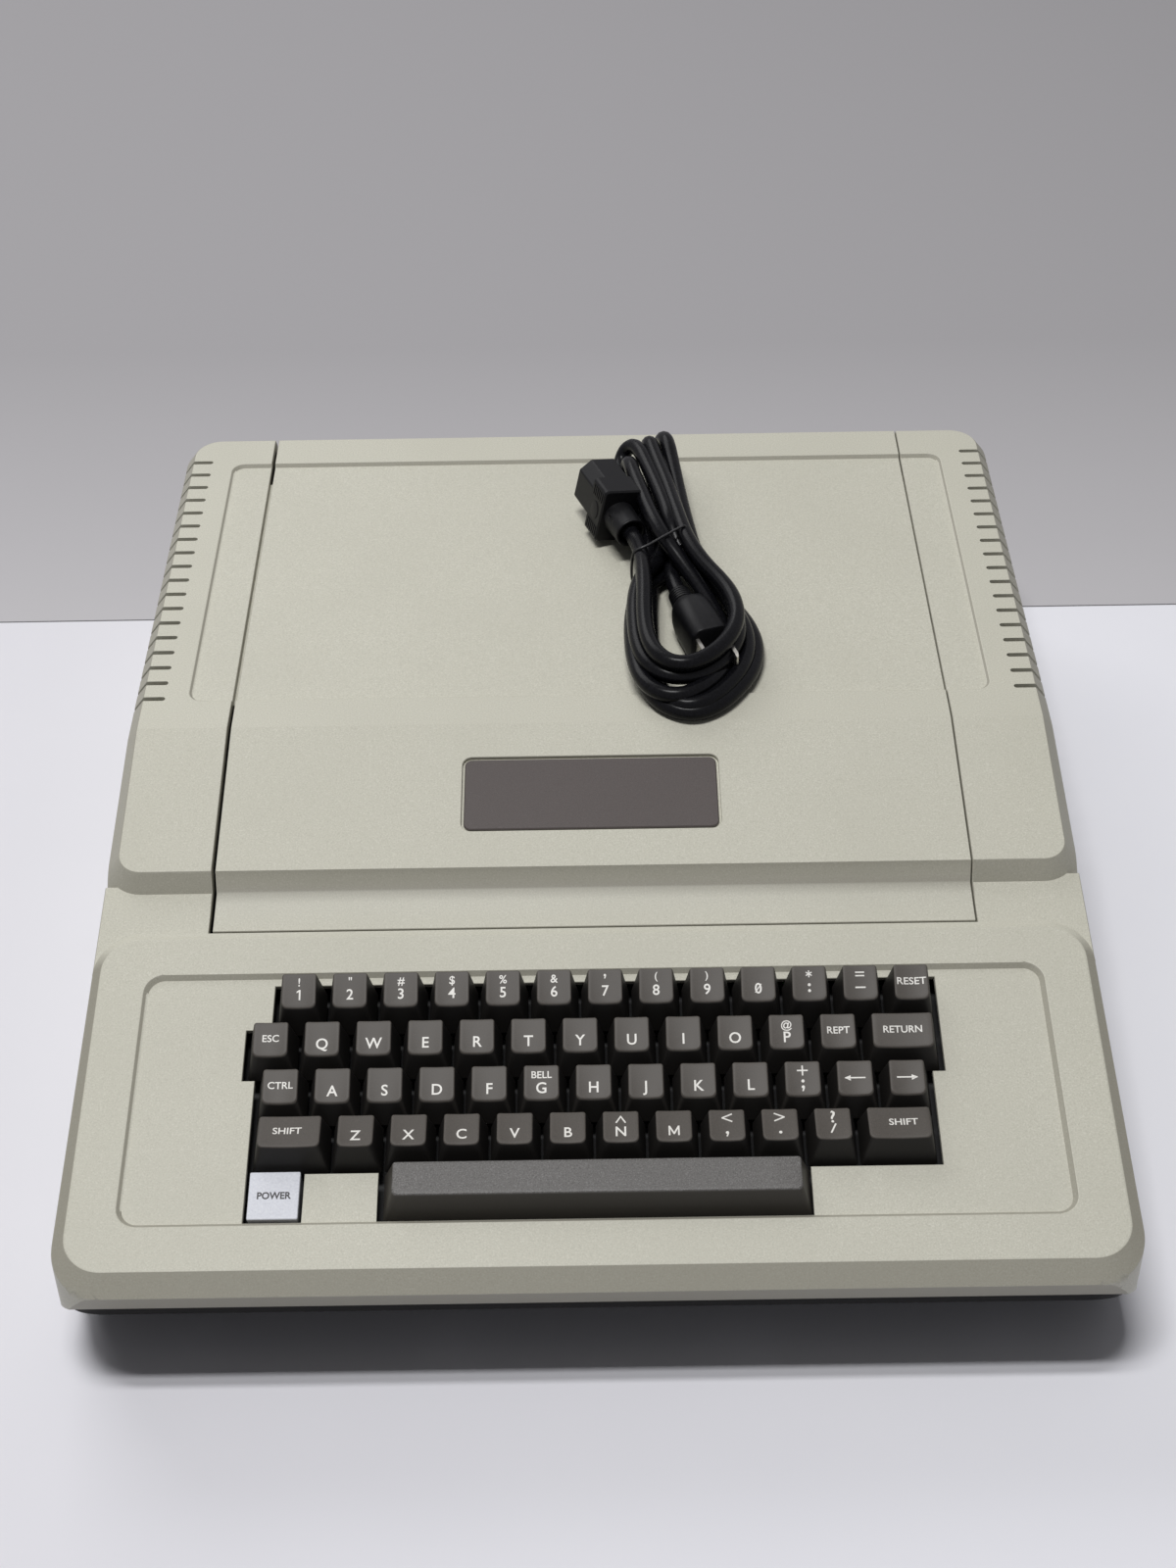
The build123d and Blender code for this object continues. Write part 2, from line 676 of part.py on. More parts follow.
def make_main_board():
    """Board with memory, firmware and processor chips, and a row of jacks at its rear edge."""
    top = board_z + board_thickness
    middle_x, middle_y = (board_left + board_right) / 2, (board_front + board_rear) / 2
    chip_height = 4.0
    memory_length, memory_width, memory_pitch_x, memory_pitch_y, memory_y = 19.0, 7.0, 28.0, 16.0, -50.0
    memory_columns, memory_rows = 8, 3
    firmware_width, firmware_length, firmware_pitch, firmware_count, firmware_y = 14.0, 32.0, 38.0, 6, 32.0
    processor_length, processor_width, processor_y = 52.0, 14.0, 72.0
    jack_z, jack_rear, jack_length, jack_block_width = top + 7.0, 221.0, 14.0, 11.0
    jack_bore_depth, collar_length = 12.0, 3.0
    jacks = [(136.0, 3.0, 1.8), (150.0, 3.0, 1.8), (166.0, 4.2, 1.6)]
    with BuildPart() as main_board:
        with Locations((middle_x, middle_y, board_z + board_thickness / 2)):
            Box(board_right - board_left, board_rear - board_front, board_thickness)
        with Locations((middle_x, memory_y, top + chip_height / 2)):
            with GridLocations(memory_pitch_x, memory_pitch_y, memory_columns, memory_rows):
                Box(memory_length, memory_width, chip_height)
        with Locations((middle_x, firmware_y, top + chip_height / 2)):
            with GridLocations(firmware_pitch, 0, firmware_count, 1):
                Box(firmware_width, firmware_length, chip_height)
        with Locations((middle_x, processor_y, top + chip_height / 2)):
            Box(processor_length, processor_width, chip_height)
        with Locations(*[(x, jack_rear - jack_length / 2, jack_z) for x, _, _ in jacks]):
            Box(jack_block_width, jack_length, 2 * (jack_z - top))
        rear_plane = Plane(origin=(0, jack_rear, jack_z), x_dir=(-1, 0, 0), z_dir=(0, 1, 0))
        with BuildSketch(rear_plane):
            for x, collar_radius, _ in jacks:
                with Locations((-x, 0)):
                    Circle(collar_radius)
        extrude(amount=collar_length)
        with BuildSketch(rear_plane.offset(collar_length)):
            for x, _, bore_radius in jacks:
                with Locations((-x, 0)):
                    Circle(bore_radius)
        extrude(amount=-jack_bore_depth, mode=Mode.SUBTRACT)
    main_board.part.label = "main_board"
    export_step(main_board.part, "parts/main_board.step")


def make_expansion_sockets():
    slot_width, slot_depth, slot_end = 2.2, 9.0, 2.0
    foot = board_z + board_thickness
    middle_x = socket_first_x + (socket_count - 1) * socket_pitch / 2
    with BuildPart() as expansion_sockets:
        with Locations((middle_x, socket_middle_y, foot + socket_height / 2)):
            with GridLocations(socket_pitch, 0, socket_count, 1):
                Box(socket_width, socket_length, socket_height)
        with Locations((middle_x, socket_middle_y, foot + socket_height - slot_depth / 2)):
            with GridLocations(socket_pitch, 0, socket_count, 1):
                Box(slot_width, socket_length - 2 * slot_end, slot_depth, mode=Mode.SUBTRACT)
    expansion_sockets.part.label = "expansion_sockets"
    export_step(expansion_sockets.part, "parts/expansion_sockets.step")


# Mains inlet and rocker sizes, shared with the supply's cut-outs
inlet_width, inlet_height, inlet_depth = 27.4, 19.8, 22.0
rocker_width, rocker_half, rocker_reach, rocker_dish = 13.0, 10.5, 5.0, 1.8
rocker_back_half = 7.0
rocker_pivot_y = supply_rear - rocker_reach
pin_radius, pin_length, pin_clearance, pin_end_gap = 1.5, 17.0, 0.05, 0.2
rest_turn = 10.0


def make_power_supply_box():
    middle = ((supply_left + supply_right) / 2, (supply_front + supply_rear) / 2)
    well_gap, well_height, well_depth = 0.5, 25.0, 13.0
    edge_chamfer = 2.0
    with BuildPart() as power_supply_box:
        with Locations((*middle, (supply_bottom + supply_top) / 2)):
            Box(supply_right - supply_left, supply_rear - supply_front, supply_top - supply_bottom)
        chamfer(power_supply_box.edges().filter_by(Axis.Y).group_by(Axis.Z)[-1], length=edge_chamfer)
        with Locations((inlet_x, supply_rear - inlet_depth / 2, panel_z)):
            Box(inlet_width, inlet_depth, inlet_height, mode=Mode.SUBTRACT)
        with Locations((switch_x, supply_rear - well_depth / 2, panel_z)):
            Box(rocker_width + 2 * well_gap, well_depth, well_height, mode=Mode.SUBTRACT)
        with Locations(Location((switch_x, rocker_pivot_y, panel_z), (0, 90, 0))):
            Cylinder(pin_radius + pin_clearance, pin_length + 2 * pin_end_gap, mode=Mode.SUBTRACT)
    power_supply_box.part.label = "power_supply_box"
    export_step(power_supply_box.part, "parts/power_supply_box.step")


def make_mains_inlet():
    flange_width, flange_height, flange_thickness = 31.0, 23.6, 1.8
    recess_width, recess_height, recess_depth, recess_corner = 24.4, 16.6, 16.0, 4.0
    blade_width, blade_height, blade_length, blade_pitch, blade_rise = 2.0, 4.0, 10.5, 14.0, 2.0
    mouth = supply_rear + flange_thickness
    rear_plane = Plane(origin=(inlet_x, mouth, panel_z), x_dir=(-1, 0, 0), z_dir=(0, 1, 0))
    with BuildPart() as mains_inlet:
        with BuildSketch(rear_plane):
            Rectangle(flange_width, flange_height)
        extrude(amount=-flange_thickness)
        with BuildSketch(rear_plane.offset(-flange_thickness)):
            Rectangle(inlet_width, inlet_height)
        extrude(amount=-inlet_depth)
        with BuildSketch(rear_plane):
            Rectangle(recess_width, recess_height)
            chamfer(vertices().group_by(Axis.Y)[-1], length=recess_corner)
        extrude(amount=-recess_depth, mode=Mode.SUBTRACT)
        with BuildSketch(rear_plane.offset(-recess_depth)):
            with Locations((-blade_pitch / 2, -blade_rise), (blade_pitch / 2, -blade_rise), (0, blade_rise)):
                Rectangle(blade_width, blade_height)
        extrude(amount=blade_length)
    mains_inlet.part.label = "mains_inlet"
    export_step(mains_inlet.part, "parts/mains_inlet.step")


def make_power_switch():
    turn = radians(rest_turn)
    outline = [
        (rocker_reach, rocker_half), (rocker_reach - rocker_dish, 0), (rocker_reach, -rocker_half),
        (-rocker_reach, -rocker_back_half), (-rocker_reach, rocker_back_half),
    ]
    turned = [(y * cos(turn) - z * sin(turn), y * sin(turn) + z * cos(turn)) for y, z in outline]
    with BuildPart() as power_switch:
        with BuildSketch(Plane.YZ.offset(switch_x)):
            with BuildLine():
                Polyline(*[(rocker_pivot_y + y, panel_z + z) for y, z in turned], close=True)
            make_face()
        extrude(amount=rocker_width / 2, both=True)
        with Locations(Location((switch_x, rocker_pivot_y, panel_z), (0, 90, 0))):
            Cylinder(pin_radius, pin_length)
    power_switch.part.label = "power_switch"
    export_step(power_switch.part, "parts/power_switch.step")


def make_speaker():
    """Speaker that faces up: magnet, frame and a cone that is open at the top."""
    magnet_radius, magnet_height, rim_height, rim_thickness = 14.0, 9.0, 21.0, 2.0
    rim_width, cone_edge, cone_radius, cone_depth, cap_rise = 4.0, 5.0, 8.0, 7.0, 1.0
    foot = base_underside + base_floor
    profile = [
        (0, foot), (magnet_radius, foot), (magnet_radius, foot + magnet_height),
        (speaker_radius - rim_width, foot + rim_height - rim_thickness),
        (speaker_radius, foot + rim_height - rim_thickness), (speaker_radius, foot + rim_height),
        (speaker_radius - cone_edge, foot + rim_height), (cone_radius, foot + rim_height - cone_depth),
        (0, foot + rim_height - cone_depth + cap_rise),
    ]
    with BuildPart() as speaker:
        with BuildSketch(Plane.XZ.offset(-speaker_y)):
            with BuildLine():
                Polyline(*[(speaker_x + radius, z) for radius, z in profile], close=True)
            make_face()
        revolve(axis=Axis((speaker_x, speaker_y, 0), (0, 0, 1)))
    speaker.part.label = "speaker"
    export_step(speaker.part, "parts/speaker.step")


# ---- Mains lead ----

# Places on the lid, in plan: the cord's two ends and the axes of its two fittings
relief_end, connector_turn, connector_roll = (19.5, 122.5), 112.0, 13.0
plug_cord_end, plug_turn = (39.0, 84.0), -72.0
loop_middle, loop_radius, loop_hole_radius = (45.5, 40.0), 28.0, 18.0
step_front, step_rear = 30.5, 198.5
lead_gap = 0.15


def fitting_plane(place, height, turn, roll=0.0):
    """Plane at a cord end whose normal is the fitting's own axis, pointing away from the cord."""
    axis = Vector(cos(radians(turn)), sin(radians(turn)), 0)
    level, upright = cos(radians(roll)), sin(radians(roll))
    across = Vector(-axis.Y * level, axis.X * level, upright)
    return Plane(origin=(*place, height), x_dir=across, z_dir=axis)


def facet(place, turn, half):
    """The two corners of a flat facet that stands square to a fitting's axis."""
    across = Vector(cos(radians(turn - 90)), sin(radians(turn - 90)))
    ends = Vector(*place) + across * half, Vector(*place) - across * half
    return [(end.X, end.Y) for end in ends]


def make_mains_lead():
    """The hank's outer shape: a narrow bundle that opens into loops round the plug."""
    loop_height, hole_half, facet_half = 24.5, 11.5, 7.4
    step_depth = 20.0
    middle_x, middle_y = loop_middle
    hole_left, hole_right = facet(plug_cord_end, plug_turn, hole_half)
    facet_right, facet_left = facet(relief_end, connector_turn, facet_half)
    waist_right = (52, 116)
    bundle = [(42, 195), (36, 201), (27, 199), (19, 188), (20, 162), (27.2, 142), (27.2, 128)]
    with BuildPart() as mains_lead:
        with BuildSketch(Plane.XY.offset(rest_z + lead_gap)):
            with BuildLine():
                ThreePointArc(
                    (middle_x - loop_radius, middle_y), (middle_x, middle_y - loop_radius),
                    (middle_x + loop_radius, middle_y),
                )
                Polyline(
                    (middle_x + loop_radius, middle_y), waist_right, facet_right, facet_left,
                    (middle_x - loop_radius, middle_y),
                )
            make_face()
            with BuildLine():
                ThreePointArc(
                    (middle_x - loop_hole_radius, middle_y), (middle_x, middle_y - loop_hole_radius),
                    (middle_x + loop_hole_radius, middle_y),
                )
                Polyline(
                    (middle_x + loop_hole_radius, middle_y), hole_right, hole_left,
                    (middle_x - loop_hole_radius, middle_y),
                )
            make_face(mode=Mode.SUBTRACT)
        extrude(amount=loop_height)
        with BuildSketch(Plane.XY.offset(rest_z + lead_gap)):
            with BuildLine():
                Polyline(waist_right, *bundle, facet_right, close=True)
            make_face()
        extrude(amount=hank_top - rest_z - lead_gap)
        for y in (step_front - step_depth, step_rear + step_depth):
            with Locations((middle_x, y, case_top + lead_gap - step_depth / 2)):
                Box(4 * loop_radius, 2 * step_depth, step_depth, mode=Mode.SUBTRACT)
    mains_lead.part.label = "mains_lead"
    export_step(mains_lead.part, "parts/mains_lead.step")


def make_lead_connector():
    """Appliance connector standing on its narrow side, its strain relief against the hank."""
    insert_width, insert_height, insert_length, insert_chamfer = 23.5, 16.5, 17.0, 5.0
    grip_width, grip_height, grip_length, grip_radius = 26.0, 18.5, 13.0, 2.0
    relief_length, relief_thin, relief_thick = 14.0, 7.0, 7.4
    turn = radians(connector_roll)
    half_rise = (grip_width * cos(turn) + grip_height * sin(turn)) / 2
    height = rest_z + half_rise + lead_gap
    plane = fitting_plane(relief_end, height, connector_turn, 90 + connector_roll)
    with BuildPart() as lead_connector:
        with BuildSketch(plane):
            Circle(relief_thin)
        with BuildSketch(plane.offset(relief_length)):
            Circle(relief_thick)
        loft()
        with BuildSketch(plane.offset(relief_length)):
            RectangleRounded(grip_width, grip_height, grip_radius)
        extrude(amount=grip_length)
        with BuildSketch(plane.offset(relief_length + grip_length)):
            Rectangle(insert_width, insert_height)
            chamfer(vertices().group_by(Axis.Y)[0], length=insert_chamfer)
        extrude(amount=insert_length)
    lead_connector.part.label = "lead_connector"
    export_step(lead_connector.part, "parts/lead_connector.step")
    print("cord leaves the connector at", [round(value, 1) for value in plane.origin])


def make_lead_plug():
    """Three-pin plug lying inside the loops, its strain relief against the hank."""
    body_width, body_height, body_length, body_radius = 16.5, 21.0, 27.0, 4.0
    relief_length, relief_thin, relief_thick = 12.0, 4.4, 6.0
    blade_width, blade_thickness, blade_length, blade_pitch, blade_rise = 6.3, 1.5, 15.5, 12.0, 3.0
    pin_drop, earth_pin_radius = 4.0, 2.3
    plane = fitting_plane(plug_cord_end, rest_z + body_height / 2 + lead_gap, plug_turn)
    with BuildPart() as lead_plug:
        with BuildSketch(plane):
            Circle(relief_thin)
        with BuildSketch(plane.offset(relief_length)):
            Circle(relief_thick)
        loft()
        with BuildSketch(plane.offset(relief_length)):
            RectangleRounded(body_width, body_height, body_radius)
        extrude(amount=body_length)
        with BuildSketch(plane.offset(relief_length + body_length)):
            with Locations((-blade_pitch / 2, blade_rise), (blade_pitch / 2, blade_rise)):
                Rectangle(blade_thickness, blade_width)
            with Locations((0, -pin_drop)):
                Circle(earth_pin_radius)
        extrude(amount=blade_length)
    lead_plug.part.label = "lead_plug"
    export_step(lead_plug.part, "parts/lead_plug.step")
    print("cord enters the plug at", [round(value, 1) for value in plane.origin])


print("mains lead: cord radius", cord_diameter / 2, "length", cord_length)
case_shell = case_form(0) - case_form(wall)
make_upper_case(case_shell)
make_lid(case_shell)
make_badge_plate()
make_base_plate()
make_rubber_feet()
make_case_screws()
make_keys()
make_key_switches()
make_keyboard_frame()
make_keyboard_board()
make_power_lamp()
make_main_board()
make_expansion_sockets()
make_power_supply_box()
make_mains_inlet()
make_power_switch()
make_speaker()
make_mains_lead()
make_lead_connector()
make_lead_plug()
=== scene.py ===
# %% [markdown]
# # A vintage home computer with its mains lead
# The frame is the engineering model: every part in its place, in metres, with the bodies that
# move it. Everything below is fitted to it, so the first step is to load it.

# %% Load the frame
import json
import math

import bmesh
import bpy
import numpy as np
from mathutils import Matrix, Vector
from mathutils.bvhtree import BVHTree

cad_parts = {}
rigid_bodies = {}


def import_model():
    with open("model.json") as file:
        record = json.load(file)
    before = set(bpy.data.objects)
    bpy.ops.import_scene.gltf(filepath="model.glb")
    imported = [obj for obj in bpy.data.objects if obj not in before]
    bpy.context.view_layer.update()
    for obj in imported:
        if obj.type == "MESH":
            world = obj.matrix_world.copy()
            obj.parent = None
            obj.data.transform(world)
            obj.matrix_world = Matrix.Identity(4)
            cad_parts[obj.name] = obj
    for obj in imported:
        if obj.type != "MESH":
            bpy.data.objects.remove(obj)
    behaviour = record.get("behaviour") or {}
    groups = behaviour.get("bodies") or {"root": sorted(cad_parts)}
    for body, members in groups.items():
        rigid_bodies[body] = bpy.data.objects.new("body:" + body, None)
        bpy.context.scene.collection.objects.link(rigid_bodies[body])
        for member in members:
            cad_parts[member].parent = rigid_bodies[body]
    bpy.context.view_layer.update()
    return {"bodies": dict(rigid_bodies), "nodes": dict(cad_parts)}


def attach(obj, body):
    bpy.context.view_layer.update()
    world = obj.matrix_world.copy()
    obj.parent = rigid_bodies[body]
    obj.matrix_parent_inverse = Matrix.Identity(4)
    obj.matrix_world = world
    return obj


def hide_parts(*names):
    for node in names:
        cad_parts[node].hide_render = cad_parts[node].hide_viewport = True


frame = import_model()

MM = 0.001


def linked(name, data):
    """A new object for some data, linked to the scene."""
    piece = bpy.data.objects.new(name, data)
    bpy.context.scene.collection.objects.link(piece)
    return piece


# %% [markdown]
# ## Camera
# The computer is seen from the front and above, as a user standing at a desk sees it. A camera
# can be aimed with a constraint, but a matrix made from three axes also takes the slight roll.

# %% Camera
eye = Vector((0.45, -671.55, 700.65)) * MM
target = Vector((-1.215, 25.735, 60.0)) * MM
roll = math.radians(-0.97)

ahead = (target - eye).normalized()
level = ahead.cross(Vector((0, 0, 1))).normalized()
upright = level.cross(ahead)
camera_right = math.cos(roll) * level + math.sin(roll) * upright
camera_up = math.cos(roll) * upright - math.sin(roll) * level

lens = bpy.data.cameras.new("camera")
lens.sensor_fit, lens.sensor_width, lens.lens = "HORIZONTAL", 36.0, 67.5
lens.clip_start, lens.clip_end = 0.01, 20.0
camera = linked("camera", lens)
turn = Matrix((camera_right, camera_up, -ahead)).transposed()
camera.matrix_world = Matrix.Translation(eye) @ turn.to_4x4()
bpy.context.scene.camera = camera
print("camera looks down by", round(math.degrees(math.asin(-ahead.z)), 1), "degrees")

# %% [markdown]
# ## Mains cord
# A mains cord is one length of round rubber flex. It leaves the appliance connector, goes five
# times round through a wide loop and a tight fold, and ends in the plug. A cloth or rope
# simulation could lay it down, but it would not give this very hank. A NURBS spline does: each
# control point is where the flex is pulled to, and the curve between them bends evenly.

# %% Route of the cord, in millimetres
from_connector = [
    (19.2, 123.3, 121.4), (21, 118, 121.7), (22.5, 111, 122.8), (23.5, 102, 124.6),
    (24, 91, 126), (24.1, 77, 126.4), (23.4, 61, 126.4), (24, 45, 126.4),
    (27, 33.5, 126.4), (32.5, 26.8, 126.4), (39.5, 25, 126.4), (47.5, 28.6, 126.4),
    (55, 36.5, 126.4), (60.5, 46.5, 126.4), (62.8, 58, 126.4), (61.2, 70.5, 126.4),
    (57, 81, 126.4), (51, 91.5, 126.7), (46.3, 101.5, 127.6),
]
fold_in_the_middle = [
    (42.8, 112, 128.4), (40.4, 125, 128.6), (38, 139, 128.5), (35.6, 153, 128.4),
    (32.4, 168, 128.4), (30.6, 177.5, 128.5), (29.6, 183.4, 128.4), (28.9, 187, 124.9),
    (28.8, 187, 119.7), (29.4, 183.4, 116.2), (30.4, 174, 116.2), (32, 156, 116.2),
    (34, 137, 116.2), (34.3, 121, 116.2),
]
second_loop = [
    (31.8, 109, 117), (26.5, 99.5, 118.6), (21.8, 89, 120), (19.8, 75, 120.5),
    (19.6, 61, 120.5), (20.2, 46.5, 120.5), (23.2, 34.5, 120.5), (29, 27, 120.4),
    (36.5, 24.3, 120), (44.5, 26, 119.8), (52.5, 31.5, 119.6), (59, 40.5, 119.4),
    (63, 52, 119.4), (63.2, 65, 119.4), (60, 77.5, 119.4), (55, 89, 119.4),
    (50.2, 99, 119.8),
]
fold_on_the_right = [
    (46.8, 110, 121), (44.8, 123, 122), (42.9, 139, 122.4), (41.2, 155, 123.2),
    (39.4, 172, 125.2), (38.2, 182, 126.8), (36.9, 188.8, 127), (35.5, 193.6, 123.4),
    (34.4, 193.4, 117), (33.9, 188, 112.8), (34, 179.5, 111), (34.8, 166, 110.2),
    (35.9, 149, 110.2), (37, 132, 110.2),
    (36.4, 116, 110.2),
]
third_loop = [
    (32.6, 104, 110.6), (26, 95, 112.5), (20.4, 84, 114.4), (18.6, 70, 115),
    (18.3, 56, 115.2), (18.8, 43, 115.8), (20.8, 30, 116.6), (25.6, 20.6, 117),
    (32.8, 16.2, 117.2), (40.2, 17, 117.2), (47.4, 22.4, 117), (54, 31, 116),
    (58.2, 42, 114.4), (58.6, 55, 113.8), (55.6, 69, 115.4), (49.8, 83.5, 118),
    (42.4, 97, 121.8),
]
fold_on_the_left = [
    (35.4, 108, 126.4), (30.6, 118.5, 128.4), (27.3, 131, 128.5), (24.4, 145, 128.4),
    (21.4, 158.5, 128.4), (20.1, 168, 127.8), (19.2, 173.4, 123.8), (19, 174.4, 117.4),
    (19.6, 170.6, 112.2), (20.8, 162, 110.3), (22.4, 150, 110.2), (24.6, 137, 110.2),
    (27.4, 123, 110.2),
]
fourth_loop = [
    (28.6, 110, 110.2), (28, 98, 110.2), (26.9, 85, 110.2), (26.6, 71, 110.2),
    (26.6, 57, 110.2), (26.8, 43, 110.6), (28.2, 29.5, 112.4), (32.6, 17.6, 114),
    (39.6, 12.9, 114.4), (47.8, 15, 114.6), (55.4, 22.6, 114.6), (61.8, 32.4, 114.4),
    (66, 43.5, 114.2), (67.4, 55.5, 114.2), (65.6, 68, 114.2), (60.8, 80.5, 114.2),
    (54.2, 92, 114.6), (46.6, 102, 116.6),
]
fold_over_the_left_one = [
    (39.6, 111.5, 123), (36.6, 122.5, 128.2), (34.4, 136, 128.5), (31.2, 151, 128.4),
    (27.8, 165.5, 128.4), (25, 176.5, 128.6), (21.8, 183.4, 127.2), (18.4, 185.4, 123),
    (16.2, 182.2, 119), (15.4, 174.5, 117.2), (17.4, 162.5, 116.6), (22.4, 148.5, 116.4),
    (26, 135.5, 116.4),
    (27.8, 122, 116.2),
]
fifth_loop = [
    (26.6, 109.5, 114.4), (23.2, 98.5, 111.6), (21.4, 86, 110.2), (20.9, 71, 110.2),
    (20.8, 56, 110.2), (21, 42.5, 110.6), (22.8, 29.5, 111.7), (28.4, 18.4, 111.8),
    (36.4, 12.2, 111.8), (45, 11.4, 111.8), (53.4, 16, 111.8), (61.4, 25.6, 111.7),
    (67.6, 37, 111), (71, 50, 110.2), (70.4, 63.5, 110.2), (66, 76.5, 110.2),
    (59.4, 88, 110.2), (51.6, 98.5, 111.2), (44.8, 108.5, 113.4),
]
to_plug = [
    (42.4, 121, 116.4), (40.6, 135, 117.6), (38.8, 148, 119.8), (37.2, 157.5, 122.2),
    (36.4, 166, 123.9), (36.3, 172.6, 123.4), (36.6, 176.4, 119.2), (37.4, 175, 114),
    (38.4, 169, 111.2), (39.4, 159.5, 110.4),
    (40.2, 148, 110.4), (40.2, 131, 110.8), (38.6, 116, 112.8), (36.6, 103, 115.4),
    (37, 93, 117.1), (38.4, 86.6, 117.2), (39.2, 83.6, 117.2),
]
cord_route = (
    from_connector + fold_in_the_middle + second_loop + fold_on_the_right + third_loop
    + fold_on_the_left + fourth_loop + fold_over_the_left_one + fifth_loop + to_plug
)
print("cord route:", len(cord_route), "points")

# %% Cord
cord_diameter, cord_length = 7.0, 1840.0


def free_curve(name, route, radius, smoothness):
    """One open NURBS spline with the route's points as its control points."""
    curve = bpy.data.curves.new(name, "CURVE")
    curve.dimensions = "3D"
    spline = curve.splines.new("NURBS")
    spline.points.add(len(route) - 1)
    for point, place in zip(spline.points, route):
        point.co = (*(value * MM for value in place), 1.0)
    spline.order_u = 3
    spline.use_endpoint_u = True
    curve.resolution_u = smoothness
    curve.bevel_depth = radius * MM
    curve.bevel_resolution = 4
    curve.use_fill_caps = True
    return linked(name, curve)


cord = free_curve("mains_cord", cord_route, cord_diameter / 2, 6)
print("cord:", cord_diameter, "mm thick and", cord_length, "mm long")

# %% [markdown]
# ## Finishes
# A finish is a node tree. Written node by node it takes hundreds of lines, so a small class
# wraps a socket: `1 - mask * 0.3` then adds its own Math nodes, and one method makes any node.

# %% Arithmetic on sockets
class Wire:
    """A socket that takes part in Python arithmetic."""

    def __init__(self, nodes, socket):
        self.nodes, self.socket = nodes, socket

    def math(self, operation, *values, **settings):
        settings["operation"] = operation
        return self.nodes.node("ShaderNodeMath", settings, dict(enumerate(values)))

    def __add__(self, other):
        return self.math("ADD", self, other)

    def __sub__(self, other):
        return self.math("SUBTRACT", self, other)

    def __rsub__(self, other):
        return self.math("SUBTRACT", other, self)

    def __mul__(self, other):
        return self.math("MULTIPLY", self, other)

    __radd__, __rmul__ = __add__, __mul__


print("sockets can be added, subtracted and multiplied")


# %% Node trees
class Nodes:
    """A node tree that one method fills."""

    def __init__(self, tree):
        self.tree = tree

    def feed(self, socket, value):
        if isinstance(value, Wire):
            self.tree.links.new(value.socket, socket)
        else:
            socket.default_value = value

    def node(self, kind, settings=None, inputs=None, output=0):
        """Makes any node: its settings first, then the values or links of its sockets."""
        made = self.tree.nodes.new(kind)
        for setting, value in (settings or {}).items():
            if setting == "stops":
                fill_ramp(made.color_ramp, value)
            else:
                setattr(made, setting, value)
        for socket, value in (inputs or {}).items():
            self.feed(made.inputs[socket], value)
        return Wire(self, made.outputs[output])


def fill_ramp(ramp, stops):
    """Gives a colour ramp its stops, each a position and a grey level."""
    while len(ramp.elements) < len(stops):
        ramp.elements.new(1.0)
    for element, (position, level) in zip(ramp.elements, stops):
        element.position = position
        element.color = (level, level, level, 1.0)


print("one method makes any node")


# %% Finishes as node trees
def paint(red, green, blue):
    """A colour given as it is seen on a screen, as the linear values that a shader takes."""
    seen = [value / 255 for value in (red, green, blue)]
    return (*(v / 12.92 if v <= 0.04045 else ((v + 0.055) / 1.055) ** 2.4 for v in seen), 1.0)


class Finish(Nodes):
    """A material with one Principled shader."""

    def __init__(self, name, roughness, **constants):
        self.material = bpy.data.materials.new(name)
        self.material.use_nodes = True
        super().__init__(self.material.node_tree)
        self.shader = self.tree.nodes["Principled BSDF"]
        self.shader.inputs["Roughness"].default_value = roughness
        for socket, value in constants.items():
            self.shader.inputs[socket.replace("_", " ")].default_value = value
        self.place = self.node("ShaderNodeTexCoord", output="Object")

    def set(self, socket, value):
        self.feed(self.shader.inputs[socket], value)

    def noise(self, grain, detail):
        """Cloudy noise between 0 and 1, its grain in millimetres."""
        inputs = {"Vector": self.place, "Scale": 1 / (grain * MM), "Detail": detail}
        return self.node("ShaderNodeTexNoise", {}, inputs)

    def pebbles(self, grain):
        """Distance from the nearest of many random points, its grain in millimetres."""
        inputs = {"Vector": self.place, "Scale": 1 / (grain * MM)}
        return self.node("ShaderNodeTexVoronoi", {}, inputs)

    def part(self, vector, axis):
        """One of a vector's three numbers."""
        return self.node("ShaderNodeSeparateXYZ", {}, {"Vector": vector}, axis)

    def ramp(self, value, *stops):
        return self.node("ShaderNodeValToRGB", {"stops": stops}, {"Fac": value})

    def blend(self, factor, first, second):
        """Mixes two colours by a factor."""
        return self.node("ShaderNodeMix", {"data_type": "RGBA"}, {0: factor, 6: first, 7: second}, 2)

    def bump(self, height, depth, strength=1.0):
        """Bends the normal by a height between 0 and 1, its depth in millimetres."""
        inputs = {"Height": height, "Distance": depth * MM, "Strength": strength}
        self.set("Normal", self.node("ShaderNodeBump", {}, inputs))


print("a grey of 128 is", round(paint(128, 128, 128)[0], 3), "to a shader")
